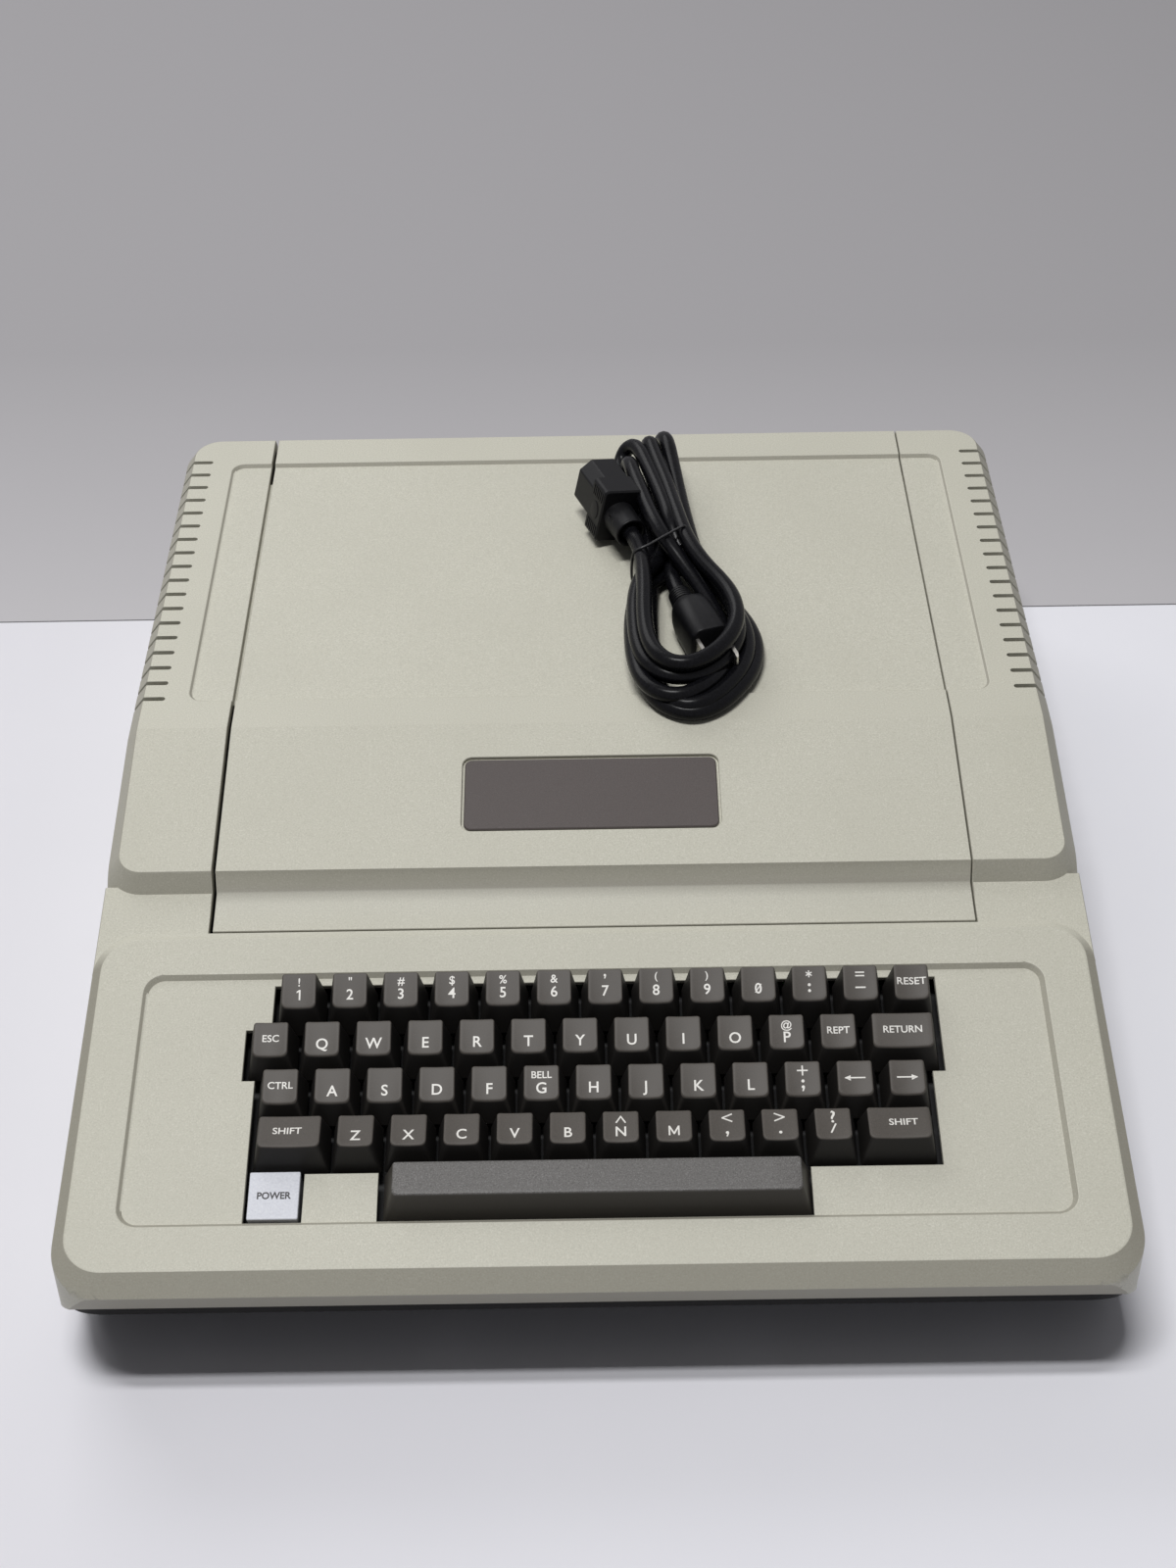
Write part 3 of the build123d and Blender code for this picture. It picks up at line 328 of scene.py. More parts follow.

# %% [markdown]
# ### Moulded plastics
# The case is moulded in a mould with a fine spark-eroded grain, which shows as small pale and
# dark specks. Two noises make it: one of about half a millimetre gives the specks, in colour and
# in relief, and a wide one the slight clouding that a large moulding always has. The keys, the
# cord and its fittings differ only in colour, grain and sheen. Plain light leaves slopes paler
# than they should look, so the case and the caps also get painted shade: their colour darkens
# where they slope.

# %% Moulded plastics and rubber
def grained_plastic(name, base, light, dark, grain, depth, roughness, gloss=0.5):
    """Moulded plastic with a fine grain in colour and relief."""
    finish = Finish(name, roughness, Specular_IOR_Level=gloss)
    base, light, dark = paint(*base), paint(*light), paint(*dark)
    speck = finish.noise(grain, 1.0)
    cloud = finish.noise(60.0, 3.0)
    colour = finish.blend(finish.ramp(speck, (0.30, 1.0), (0.46, 0.0)), base, dark)
    colour = finish.blend(finish.ramp(speck, (0.56, 0.0), (0.70, 1.0)), colour, light)
    finish.colour = finish.blend(finish.ramp(cloud, (0.35, 0.0), (0.75, 0.35)), colour, dark)
    finish.set("Base Color", finish.colour)
    finish.set("Roughness", roughness + 0.12 * (speck - 0.5))
    finish.bump(speck, depth, 0.5)
    return finish


def shade_by_slope(finish, colour, *stops):
    """Paints shade into a finish's colour where its surface slopes: 0.5 is an upright wall and 1 a
    level top.
    """
    facing = finish.node("ShaderNodeTexCoord", output="Normal")
    rise = finish.part(facing, 2) * 0.5 + 0.5
    finish.set("Base Color", finish.blend(finish.ramp(rise, *stops), finish.colour, paint(*colour)))


case_plastic = grained_plastic(
    "case_plastic", (200, 198, 184), (211, 209, 196), (190, 188, 174), 0.6, 0.06, 0.48, 0.35
)
# Painted shade: the case darkens on its bevels and slopes and on the faces that turn down under its
# front lip, while upright walls and level tops keep their colour.
shade_by_slope(
    case_plastic, (120, 115, 103), (0.33, 0.6), (0.45, 0.0), (0.54, 0.0), (0.67, 0.33),
    (0.80, 0.4), (0.88, 0.52), (0.93, 0.68), (0.96, 0.0),
)
base_plastic = grained_plastic(
    "base_plastic", (17, 16, 16), (26, 25, 24), (12, 11, 11), 0.8, 0.08, 0.6, 0.15
)
badge_plastic = grained_plastic(
    "badge_plastic", (86, 79, 77), (94, 87, 85), (78, 72, 70), 0.35, 0.01, 0.34
)
key_plastic = grained_plastic(
    "key_plastic", (79, 74, 69), (88, 83, 77), (71, 67, 62), 0.35, 0.02, 0.52, 0.35
)
# Painted shade: the sides and fronts of the caps are darkened, while their tops keep their colour.
shade_by_slope(key_plastic, (24, 22, 20), (0.66, 1.0), (0.82, 0.0))
bar_plastic = grained_plastic(
    "bar_plastic", (104, 102, 100), (126, 124, 123), (84, 82, 80), 0.5, 0.08, 0.5, 0.35
)
# Painted shade: the sloping front and sides of the space bar are darkened.
shade_by_slope(bar_plastic, (64, 61, 56), (0.70, 1.0), (0.86, 0.0))
legend_white = grained_plastic(
    "legend_white", (236, 234, 228), (244, 242, 238), (222, 219, 212), 0.4, 0.01, 0.45
)
cord_rubber = grained_plastic(
    "cord_rubber", (15, 15, 18), (20, 20, 24), (11, 11, 13), 1.2, 0.015, 0.27, 0.13
)
fitting_rubber = grained_plastic(
    "fitting_rubber", (16, 16, 18), (21, 21, 24), (12, 12, 14), 1.2, 0.015, 0.45, 0.2
)
cord.data.materials.append(cord_rubber.material)
print("plastics for the case, base, badge, keys, legends, cord and fittings")

# %% [markdown]
# ## Case and lid
# The engineering model gives both shells with knife-sharp edges. Real mouldings are rounded, and
# the thin line of light along an edge is what tells the eye so. A copy of each shell is merged
# and its flat faces are joined again, then a Bevel modifier rounds only the edges that show.

# %% Plane of the keyboard
deck_tilt = math.radians(10.87)
deck_rear = Vector((0, -86.0, 84.85))
field_depth, row_one, pitch, key_one_x = 1.8, -31.5, 19.05, -110.1
up_slope = Vector((0, math.cos(deck_tilt), math.sin(deck_tilt)))
off_deck = Vector((0, -math.sin(deck_tilt), math.cos(deck_tilt)))
key_origin = deck_rear + row_one * up_slope - field_depth * off_deck


def from_keyboard(points):
    """Points given across, up and off the keyboard in millimetres, as places in metres."""
    axes = np.array([(1, 0, 0), up_slope[:], off_deck[:]])
    return (np.array(key_origin) + np.array(points) @ axes) * MM


def keyboard_place(place):
    """A place in millimetres, given across, up and off the keyboard."""
    offset = Vector(place) - key_origin
    return offset.x, offset.dot(up_slope), offset.dot(off_deck)


print("the keyboard tilts by", round(math.degrees(deck_tilt), 2), "degrees")


# %% Helpers for meshes
def show(name, mesh, body, finishes, node=None):
    """Links a finished mesh, gives it its finishes and hangs it on its body."""
    piece = linked(name, mesh)
    for finish in finishes:
        mesh.materials.append(finish.material)
    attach(piece, body)
    if node:
        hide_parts(node)
    return piece


def as_mesh(scratch):
    """The plain mesh of an object as its modifiers leave it; the object is removed."""
    depsgraph = bpy.context.evaluated_depsgraph_get()
    mesh = bpy.data.meshes.new_from_object(scratch.evaluated_get(depsgraph))
    bpy.data.objects.remove(scratch)
    return mesh


def evaluated(mesh, *modifiers):
    """Runs modifiers over a mesh and returns a plain mesh."""
    scratch = linked(mesh.name + "_scratch", mesh)
    for kind, settings in modifiers:
        modifier = scratch.modifiers.new(kind, kind)
        for setting, value in settings.items():
            setattr(modifier, setting, value)
    return as_mesh(scratch)


print("a mesh can be finished by modifiers and hung on its body")


# %% Rounded copy of a shell
def open_faces(work):
    """The faces from which a straight way out leads away from the shell."""
    tree = BVHTree.FromBMesh(work)
    largest = {}
    for loops in work.calc_loop_triangles():
        first, second, third = (loop.vert.co for loop in loops)
        area = (second - first).cross(third - first).length
        if area > largest.get(loops[0].face, (0.0,))[0]:
            largest[loops[0].face] = (area, (first + second + third) / 3)
    clear = 0.02 * MM
    return {
        face for face, (area, middle) in largest.items()
        if tree.ray_cast(middle + clear * face.normal, face.normal)[0] is None
    }


weld_gap, flat_fold, least_fold, sharp_fold, widest = 0.002, 0.3, 20, 18, 0.5


def rounded_shell(node, edge_radius):
    """A merged copy of a CAD node with its visible edges rounded, as a plain mesh."""
    work = bmesh.new()
    work.from_mesh(frame["nodes"][node].data)
    bmesh.ops.remove_doubles(work, verts=work.verts, dist=weld_gap * MM)
    flat = {"angle_limit": math.radians(flat_fold), "verts": work.verts, "edges": work.edges}
    bmesh.ops.dissolve_limit(work, **flat)
    outside = open_faces(work)
    weight = work.edges.layers.float.new("bevel_weight_edge")
    rounded = 0
    for edge in work.edges:
        if len(edge.link_faces) != 2 or not edge.is_convex:
            continue
        fold = math.degrees(edge.calc_face_angle(0.0))
        seen = sum(face in outside for face in edge.link_faces)
        if fold > least_fold and seen:
            middle = (edge.verts[0].co + edge.verts[1].co) / 2 / MM
            edge[weight] = edge_radius(middle, seen, fold) / widest
            rounded += edge[weight] > 0
    mesh = bpy.data.meshes.new(node + "_shell")
    work.to_mesh(mesh)
    work.free()
    mesh.shade_smooth()
    mesh.set_sharp_from_angle(angle=math.radians(sharp_fold))
    bevel = {"limit_method": "WEIGHT", "width": widest * MM, "segments": 3, "use_clamp_overlap": False}
    mesh = evaluated(mesh, ("BEVEL", bevel), ("WEIGHTED_NORMAL", {"keep_sharp": True}))
    print(node, "shell:", rounded, "edges rounded,", len(mesh.polygons), "faces")
    return mesh


# %% Case and lid
lip_height, field_half, edge_round, gap_round, key_gap_round = 54, 160, 0.4, 0.35, 0.25
vents_half, vents_front, vents_rear, vents_height = 175.5, 28, 204, 77


def case_edge(middle, seen, fold):
    """Radius of a case edge, by where it is: none low down, less in the vents and round the keys."""
    if middle.z < lip_height:
        return 0.0
    beside = abs(middle.x) > vents_half and middle.z > vents_height
    if beside and vents_front < middle.y < vents_rear:
        return 0.0 if seen == 1 else gap_round
    across, up, off = keyboard_place(middle)
    if abs(off) < 3 and abs(across) < field_half and -5 * pitch < up < pitch:
        return key_gap_round if seen == 1 and up > -4.4 * pitch else 0.0
    return edge_round


lid_gaps, steep_fold, lid_gap_round, lid_crease_round = 145, 40, 0.3, 0.5


def lid_edge(middle, seen, fold):
    """Radius of a lid edge: small along its gaps and recesses, larger where the top breaks down."""
    along_gap = abs(middle.x) > lid_gaps or fold > steep_fold
    return lid_gap_round if along_gap else lid_crease_round


for node, body, edge_radius in (("upper_case", "case", case_edge), ("lid", "cover", lid_edge)):
    shell = rounded_shell(node, edge_radius)
    show(node + "_shell", shell, body, [case_plastic], node)

# %% [markdown]
# ## Keys
# Each cap is a lofted block: a square foot, sloping sides and a smaller top, tilted by its row
# and scooped from side to side so that the finger finds its middle. Boxes with a bevel would miss
# the scoop, so rings of points are stacked from the foot to the top and on to the top's middle.

# %% Outline with rounded corners
def rounded_outline(half, front, rear, front_radius, rear_radius=None, per_side=8, per_corner=4):
    """Points round a rectangle with rounded corners, always the same number of them."""
    rear_radius = rear_radius or front_radius
    arcs = []
    for side, v, radius, start in ((1, rear, rear_radius, 0), (-1, rear, rear_radius, 90),
                                   (-1, front, front_radius, 180), (1, front, front_radius, 270)):
        middle_x = side * (half - radius)
        middle_v = v - radius if v == rear else v + radius
        turns = [math.radians(start + step * 90 / per_corner) for step in range(per_corner + 1)]
        arcs.append([
            (middle_x + radius * math.cos(turn), middle_v + radius * math.sin(turn)) for turn in turns
        ])
    outline = []
    for arc, following in zip(arcs, arcs[1:] + arcs[:1]):
        (x0, v0), (x1, v1) = arc[-1], following[0]
        outline += arc + [
            (x0 + (x1 - x0) * step / per_side, v0 + (v1 - v0) * step / per_side)
            for step in range(1, per_side)
        ]
    return np.array(outline)


def at_depth(outline, depth):
    """A flat outline as a ring of points at a depth."""
    return np.column_stack([outline, np.full(len(outline), depth)])


print("outline:", len(rounded_outline(10, -5, 5, 2)), "points")

# %% Shape of a key cap
cap_half, cap_foot, top_half_width, top_front, top_rear = 9.05, -3.2, 6.35, -4.5, 8.6
front_height = [9.8, 7.6, 6.6, 9.5, 8.4]
rear_height = [12.7, 9.6, 8.3, 7.7, 8.0]
scoop_front, scoop_rear = 0.75, 0.3
foot_radius, front_radius, rear_radius, least_radius = 0.9, 2.2, 1.0, 0.3
rim_angles = [math.radians(angle) for angle in (30, 60, 90)]
rim_width, dish_rings = 1.1, (0.85, 0.6, 0.3)


def top_height(row, half, x, v, scoop=1.0):
    """Height of a cap's top above the keyboard's plane, with its scoop."""
    along = (v - top_front) / (top_rear - top_front)
    plane = front_height[row] + along * (rear_height[row] - front_height[row])
    depth = scoop_front + along * (scoop_rear - scoop_front)
    return plane - scoop * depth * (1 - np.minimum(1.0, (x / half) ** 2))


def cap_rings(row, base_half, top_half, scoop=1.0, edge=0.42):
    """Rings from a cap's foot, over its rounded rim, to the middle of its top."""
    def lifted(outline, down=0.0):
        height = top_height(row, top_half, outline[:, 0], outline[:, 1], scoop) - down
        return np.column_stack([outline, height])

    foot_ring = at_depth(rounded_outline(base_half, -cap_half, cap_half, foot_radius), cap_foot)
    rim_ring = lifted(rounded_outline(top_half, top_front, top_rear, front_radius, rear_radius))
    rings = [foot_ring, foot_ring * 0.5 + rim_ring * 0.5]
    for below in (1.9 * edge, edge):
        share = 1 - below / (front_height[row] - cap_foot)
        rings.append(foot_ring * (1 - share) + rim_ring * share)
    middle = np.array([0.0, (top_front + top_rear) / 2])
    for angle in rim_angles:
        inset = edge * (1 - math.cos(angle)) * rim_width
        outline = rounded_outline(top_half - inset, top_front + inset, top_rear - inset,
                                  front_radius - inset, max(least_radius, rear_radius - inset))
        rings.append(lifted(outline, edge * (1 - math.sin(angle))))
    inner = rings[-1][:, :2]
    for share in dish_rings:
        rings.append(lifted(middle + (inner - middle) * share))
    tip = top_height(row, top_half, 0.0, middle[1], scoop)
    return rings, np.array([0.0, middle[1], float(tip)])


print("cap:", len(cap_rings(0, cap_half, top_half_width)[0]), "rings")


# %% Mould
class Mould:
    """Collects the faces of one piece, each with the number of its finish."""

    def __init__(self):
        self.points, self.faces, self.finish = [], [], []

    def add(self, points, faces, finish=0):
        start = len(self.points)
        self.points += [tuple(point) for point in points]
        self.faces += [tuple(start + index for index in face) for face in faces]
        self.finish += [finish] * len(faces)

    def loft(self, rings, tip=None, finish=0):
        """Skins a stack of rings, closed at its start, and closed or fanned to a tip at its end."""
        count = len(rings[0])
        faces = [tuple(reversed(range(count)))]
        for ring in range(len(rings) - 1):
            for step in range(count):
                after = (step + 1) % count
                low, high = ring * count, (ring + 1) * count
                faces.append((low + step, low + after, high + after, high + step))
        points = [point for ring in rings for point in ring]
        last = (len(rings) - 1) * count
        if tip is None:
            faces.append(tuple(last + step for step in range(count)))
        else:
            points.append(tip)
            top = len(points) - 1
            faces += [(last + step, last + (step + 1) % count, top) for step in range(count)]
        self.add(points, faces, finish)

    def block(self, low, high):
        """A box between two corners."""
        corners = [(x, y, z) for z in (low[2], high[2]) for x, y in
                   ((low[0], low[1]), (high[0], low[1]), (high[0], high[1]), (low[0], high[1]))]
        self.loft([corners[:4], corners[4:]])

    def mesh(self, name, place=lambda points: np.array(points) * MM, sharp=35):
        """The collected faces as a mesh, smooth but for folds past an angle in degrees."""
        mesh = bpy.data.meshes.new(name)
        mesh.from_pydata(place(self.points).tolist(), [], self.faces)
        mesh.polygons.foreach_set("material_index", self.finish)
        mesh.validate()
        mesh.shade_smooth()
        mesh.set_sharp_from_angle(angle=math.radians(sharp))
        return mesh


stem_half, stem_foot, stem_root = 2.5, -13.0, 0.5


def add_cap(mould, row, x, base_half, top_half, stems=(0.0,), **shape):
    """One cap in its row, and the square stems that go down from it into the switches."""
    rings, tip = cap_rings(row, base_half, top_half, **shape)
    shift = np.array([x, -row * pitch, 0.0])
    mould.loft([ring + shift for ring in rings], tip + shift)
    for stem in stems:
        mould.block((x + stem - stem_half, -row * pitch - stem_half, stem_foot),
                    (x + stem + stem_half, -row * pitch + stem_half, cap_foot + stem_root))


print("stems:", 2 * stem_half, "mm square")

# %% [markdown]
# ### Legends
# The caps are two-shot mouldings: the legend is white plastic that comes up through the cap. A
# printed texture would blur, so each legend is a thin raised mesh that is laid over the scoop.
# Signs whose strokes the typeface draws too thin or too small are drawn stroke by stroke.

# %% Text on a cap
letter_height, word_height, legend_lift, legend_root = 4.0, 2.6, 0.03, -0.25


def text_mesh(words, weight=0.012):
    """Points and faces of a line of text that is one unit tall and centred on zero."""
    curve = bpy.data.curves.new("words", "FONT")
    curve.body, curve.align_x, curve.extrude, curve.offset = words, "CENTER", 0.5, weight
    curve.resolution_u = 4
    mesh = as_mesh(linked("words", curve))
    points = np.array([vertex.co[:] for vertex in mesh.vertices])
    return points, [tuple(polygon.vertices) for polygon in mesh.polygons]


capital_height = text_mesh("H")[0][:, 1].max()


def add_legend(mould, words, row, half, x, foot, height, widen=1.0, aside=0.0):
    """Lays a line of text on a cap whose middle is at x."""
    points, faces = text_mesh(words)
    scale = height / capital_height
    across, up = points[:, 0] * scale * widen + aside, foot + points[:, 1] * scale
    lift = np.where(points[:, 2] > 0, legend_lift, legend_root)
    off = top_height(row, half, across, up) + lift
    mould.add(np.column_stack([across + x, up - row * pitch, off]), faces, 1)


print("capitals are", round(capital_height, 3), "of the text's size")

# %% Drawn signs
stroke = 0.15


def bar(x0, y0, x1, y1, width=stroke):
    """The outline of a straight stroke, in letter heights."""
    run = np.array([x1 - x0, y1 - y0])
    side = np.array([-run[1], run[0]]) / np.hypot(*run) * width / 2
    return [(x0, y0) - side, (x1, y1) - side, (x1, y1) + side, (x0, y0) + side]


def dot(y, radius=0.15):
    """The outline of a round dot, in letter heights."""
    turns = np.arange(12) * math.pi / 6
    return [(radius * math.cos(turn), y + radius * math.sin(turn)) for turn in turns]


comma_tail = [(0.14, 0.12), (0.02, -0.2), (-0.1, -0.2), (-0.06, 0.0)]
drawn_signs = {
    "1": [[(0.0, 0.0), (0.16, 0.0), (0.16, 1.0), (0.03, 1.0), (-0.22, 0.84), (-0.22, 0.68),
           (0.0, 0.8)]],
    "-": [bar(-0.5, 0.42, 0.5, 0.42)],
    "=": [bar(-0.5, 0.3, 0.5, 0.3), bar(-0.5, 0.68, 0.5, 0.68)],
    "+": [bar(-0.55, 0.5, 0.55, 0.5), bar(0.0, -0.02, 0.0, 1.02)],
    "*": [bar(-0.4 * math.sin(turn), 0.5 - 0.4 * math.cos(turn), 0.4 * math.sin(turn),
              0.5 + 0.4 * math.cos(turn), 0.13) for turn in (0.0, math.pi / 3, -math.pi / 3)],
    "^": [bar(-0.48, 0.1, 0.03, 0.9), bar(-0.03, 0.9, 0.48, 0.1)],
    "<": [bar(0.55, 0.05, -0.5, 0.52), bar(-0.5, 0.48, 0.55, 0.95)],
    ">": [bar(-0.55, 0.05, 0.5, 0.52), bar(0.5, 0.48, -0.55, 0.95)],
    ":": [dot(0.18), dot(0.76)],
    ";": [dot(0.2), comma_tail, dot(0.76)],
    ",": [dot(0.2), comma_tail],
    ".": [dot(0.16)],
    "'": [dot(0.84), [(x, y + 0.64) for x, y in comma_tail]],
    "M": [bar(-0.42, 0.0, -0.42, 1.0), bar(-0.42, 0.97, 0.02, 0.14), bar(-0.02, 0.14, 0.42, 0.97),
          bar(0.42, 0.0, 0.42, 1.0)],
    "/": [bar(-0.24, 0.02, 0.24, 0.98)],
    "slash": [bar(-0.3, 0.08, 0.3, 0.92, 0.1)],
    "left": [bar(-0.9, 0.5, 0.95, 0.5, 0.13), [(-0.98, 0.5), (-0.4, 0.24), (-0.4, 0.76)]],
    "right": [bar(-0.95, 0.5, 0.9, 0.5, 0.13), [(0.98, 0.5), (0.4, 0.76), (0.4, 0.24)]],
}


def add_sign(mould, sign, row, half, x, foot, height):
    """Lays one sign on a cap: a drawn one where the face of the text lacks its bold shape."""
    if sign not in drawn_signs:
        return add_legend(mould, sign, row, half, x, foot, height)
    for outline in drawn_signs[sign]:
        across, up = np.transpose([tuple(point) for point in outline]) * height
        up = up + foot
        area = np.sum(across * np.roll(up, -1) - np.roll(across, -1) * up)
        way = 1 if area > 0 else -1
        off = top_height(row, half, across, up)
        mould.loft([
            np.column_stack([across + x, up - row * pitch, off + lift])[::way]
            for lift in (legend_root, legend_lift)
        ], finish=1)


print(len(drawn_signs), "drawn signs")

# %% What the keys say, and where
key_rows = [
    "1 2 3 4 5 6 7 8 9 0 colon minus reset",
    "escape q w e r t y u i o p repeat return",
    "control a s d f g h j k l semicolon left right",
    "left_shift z x c v b n m comma period slash right_shift",
]
row_first_unit = [0.0, -0.5, -0.25, 0.25]
wide_key_shift = {"return": 0.25, "left_shift": -0.25, "right_shift": 0.25}
row_of = {name: row for row, names in enumerate(key_rows) for name in names.split()}
unit_of = {
    name: row_first_unit[row] + place + wide_key_shift.get(name, 0)
    for row, names in enumerate(key_rows) for place, name in enumerate(names.split())
}
legends = {
    "1": "1!", "2": '2"', "3": "3#", "4": "4$", "5": "5%", "6": "6&", "7": "7'", "8": "8(",
    "9": "9)", "0": "0", "colon": ":*", "minus": "-=", "p": "P@", "n": "N^", "semicolon": ";+",
    "comma": ",<", "period": ".>", "slash": "/?",
}
words = {
    "reset": "RESET", "escape": "ESC", "repeat": "REPT", "return": "RETURN", "control": "CTRL",
    "left_shift": "SHIFT", "right_shift": "SHIFT",
}
print(len(row_of), "caps in", len(key_rows), "rows")

# %% Make the keys
letter_foot, upper_foot, word_foot, bell_foot = -1.9, 3.3, 1.1, 3.7
digit_lift, digit_size, cap_gap, wide_cap = 0.5, 0.96, 0.95, 1.5
upper_fit, upper_digit_fit = (0.9, 0.0), (0.76, 0.5)
upper_sign_fit = {
    "@": (0.72, 0.0), "?": (1.2, -0.7), "(": (0.66, 1.2), ")": (0.66, 1.2), "*": (0.8, 0.7),
    "=": (0.85, 0.3), "'": (0.8, 0.3),
}
word_width = dict.fromkeys(words, 1.04) | dict.fromkeys(("reset", "left_shift", "right_shift"), 1.12)
word_shift = {"left_shift": -0.8, "right_shift": 1.4}


def add_key(mould, name):
    """One cap with its stem and its legend."""
    row, x = row_of[name], key_one_x + unit_of[name] * pitch
    base_half = (wide_cap * pitch - cap_gap) / 2 if name in wide_key_shift else cap_half
    top_half = base_half - (cap_half - top_half_width)
    add_cap(mould, row, x, base_half, top_half)
    lift, height, fit = 0.0, letter_height, upper_fit
    if row == 0:
        lift, height, fit = digit_lift, digit_size * letter_height, upper_digit_fit
    on_cap = (row, top_half, x)
    if name in words:
        add_legend(mould, words[name], *on_cap, word_foot, word_height,
                   word_width[name], word_shift.get(name, 0.0))
    elif name in ("left", "right"):
        add_sign(mould, name, *on_cap, 0.0, letter_height)
    else:
        signs = legends.get(name, name.upper())
        for sign in (signs[0], "slash") if name == "0" else signs[0]:
            add_sign(mould, sign, *on_cap, letter_foot + lift, height)
        if len(signs) > 1:
            size, rise = upper_sign_fit.get(signs[1], fit)
            add_sign(mould, signs[1], *on_cap, upper_foot + rise, size * letter_height)
        if name == "g":
            add_legend(mould, "BELL", *on_cap, bell_foot, word_height)


key_nodes = sorted(name for name in frame["nodes"] if name + "_body" in frame["bodies"])
key_nodes = [name for name in key_nodes if name.startswith(("key_", "keys_"))]
for node in key_nodes:
    title = node.split("_", 1)[1]
    mould = Mould()
    for name in [title] if title in row_of else title.split("_"):
        add_key(mould, name)
    show(node + "_cap", mould.mesh(node + "_cap", from_keyboard), node + "_body",
         [key_plastic, legend_white], node)
print(len(key_nodes), "keys")

# %% [markdown]
# ### Space bar
# It is the same lofted cap, eight keys wide and flat from side to side, because a thumb slides
# along it. Three stems hold it level. Its plastic is paler and coarser than that of the keys.

# %% Space bar
bar_row, bar_middle, bar_base_half, bar_top_half = 4, key_one_x + 5.7875 * pitch, 76.25, 72.5
bar_stems = (-50.0, 0.0, 50.0)
mould = Mould()
add_cap(mould, bar_row, bar_middle, bar_base_half, bar_top_half, bar_stems, scoop=0.0, edge=0.5)
show("space_bar_cap", mould.mesh("space_bar_cap", from_keyboard), "space_bar_body",
     [bar_plastic], "space_bar")
print("space bar:", 2 * bar_base_half, "mm wide")

# %% [markdown]
# ## Fittings of the mains lead
# The appliance connector is a rubber block over a plastic insert, with a smooth oval for the
# thumb between two groups of fine grip ribs, and a strain relief like a short open tube. Each
# part is a stack of outlines along the fitting's own axis, and the finished mesh is then moved
# to its place on the hank, which is simpler than to model it slanted.

# %% Helpers for the fittings
def circle(radius, steps, middle=(0.0, 0.0)):
    """Points round a circle across a fitting."""
    turns = np.arange(steps) * 2 * math.pi / steps
    return np.column_stack([middle[0] + radius * np.cos(turns), middle[1] + radius * np.sin(turns)])


def turned(mould, profile, steps=40, middle=(0.0, 0.0), finish=0):
    """A turned shape from (radius, depth) pairs, facing outwards whichever way the depths run."""
    way = -1 if profile[-1][1] < profile[0][1] else 1
    rings = [at_depth(circle(radius, steps, middle), depth)[::way] for radius, depth in profile]
    mould.loft(rings, finish=finish)


def slab(half, side, radius, depth):
    """A rounded rectangle across a fitting, as a ring at a depth."""
    return at_depth(rounded_outline(half, -side, side, radius), depth)


def cut_out(mesh, mould):
    """A mesh with a mould's shape cut out of it."""
    cutter = linked("cutter", mould.mesh("cutter"))
    settings = {"operation": "DIFFERENCE", "solver": "EXACT", "object": cutter}
    result = evaluated(mesh, ("BOOLEAN", settings))
    bpy.data.objects.remove(cutter)
    return result


def seated(mesh, origin, right, ahead):
    """Moves a mesh from a fitting's own axes to its place, given in millimetres."""
    matrix = Matrix((right, np.cross(ahead, right).tolist(), ahead)).transposed().to_4x4()
    matrix.translation = Vector(origin) * MM
    mesh.transform(matrix)
    return mesh


print("fittings can be turned, stacked, cut and seated")

# %% [markdown]
# ### Rows of blocks
# Ribs, contact strips and chip legs are all the same block in even rows. A Geometry Nodes tree
# makes them once for all: a line of points along each of two directions, and a block on each.

# %% Geometry Nodes tree for rows of blocks
def rows_tree():
    """The tree, with named inputs for its counts, steps, sizes and material."""
    tree = bpy.data.node_groups.new("rows_of_blocks", "GeometryNodeTree")
    kinds = {"Columns": "Int", "Rows": "Int", "Column Step": "Vector", "Row Step": "Vector",
             "Block Size": "Vector", "Start": "Vector", "Material": "Material"}
    sockets = {
        name: tree.interface.new_socket(
            name, in_out="INPUT", socket_type="NodeSocket" + kind).identifier
        for name, kind in kinds.items()
    }
    tree.interface.new_socket("Geometry", in_out="OUTPUT", socket_type="NodeSocketGeometry")
    nodes = Nodes(tree)
    given = tree.nodes.new("NodeGroupInput")

    def step(kind, **inputs):
        """A Geometry node whose inputs are fed by wires or by the tree's named inputs."""
        inputs = {socket.replace("_", " "): value for socket, value in inputs.items()}
        for socket, value in inputs.items():
            if isinstance(value, str):
                inputs[socket] = Wire(nodes, given.outputs[value])
        return nodes.node("GeometryNode" + kind, {}, inputs)

    block = step("MeshCube", Size="Block Size")
    column = step("MeshLine", Count="Columns", Offset="Column Step")
    row = step("MeshLine", Count="Rows", Offset="Row Step")
    line = step("InstanceOnPoints", Points=column, Instance=block)
    field = step("InstanceOnPoints", Points=row, Instance=line)
    real = step("RealizeInstances", Geometry=field)
    placed = step("Transform", Geometry=real, Translation="Start")
    dressed = step("SetMaterial", Geometry=placed, Material="Material")
    tree.links.new(dressed.socket, tree.nodes.new("NodeGroupOutput").inputs[0])
    return tree, sockets


block_rows, block_sockets = rows_tree()


def blocks(finish, columns, rows, column_step, row_step, size, start):
    """A plain mesh of blocks in rows, all lengths in millimetres."""
    scratch = linked("rows_scratch", bpy.data.meshes.new("rows"))
    modifier = scratch.modifiers.new("rows", "NODES")
    modifier.node_group = block_rows
    lengths = {"Column Step": column_step, "Row Step": row_step, "Block Size": size, "Start": start}
    settings = {name: [length * MM for length in three] for name, three in lengths.items()}
    settings |= {"Columns": columns, "Rows": rows, "Material": finish.material}
    for name, value in settings.items():
        modifier[block_sockets[name]] = value
    return as_mesh(scratch)


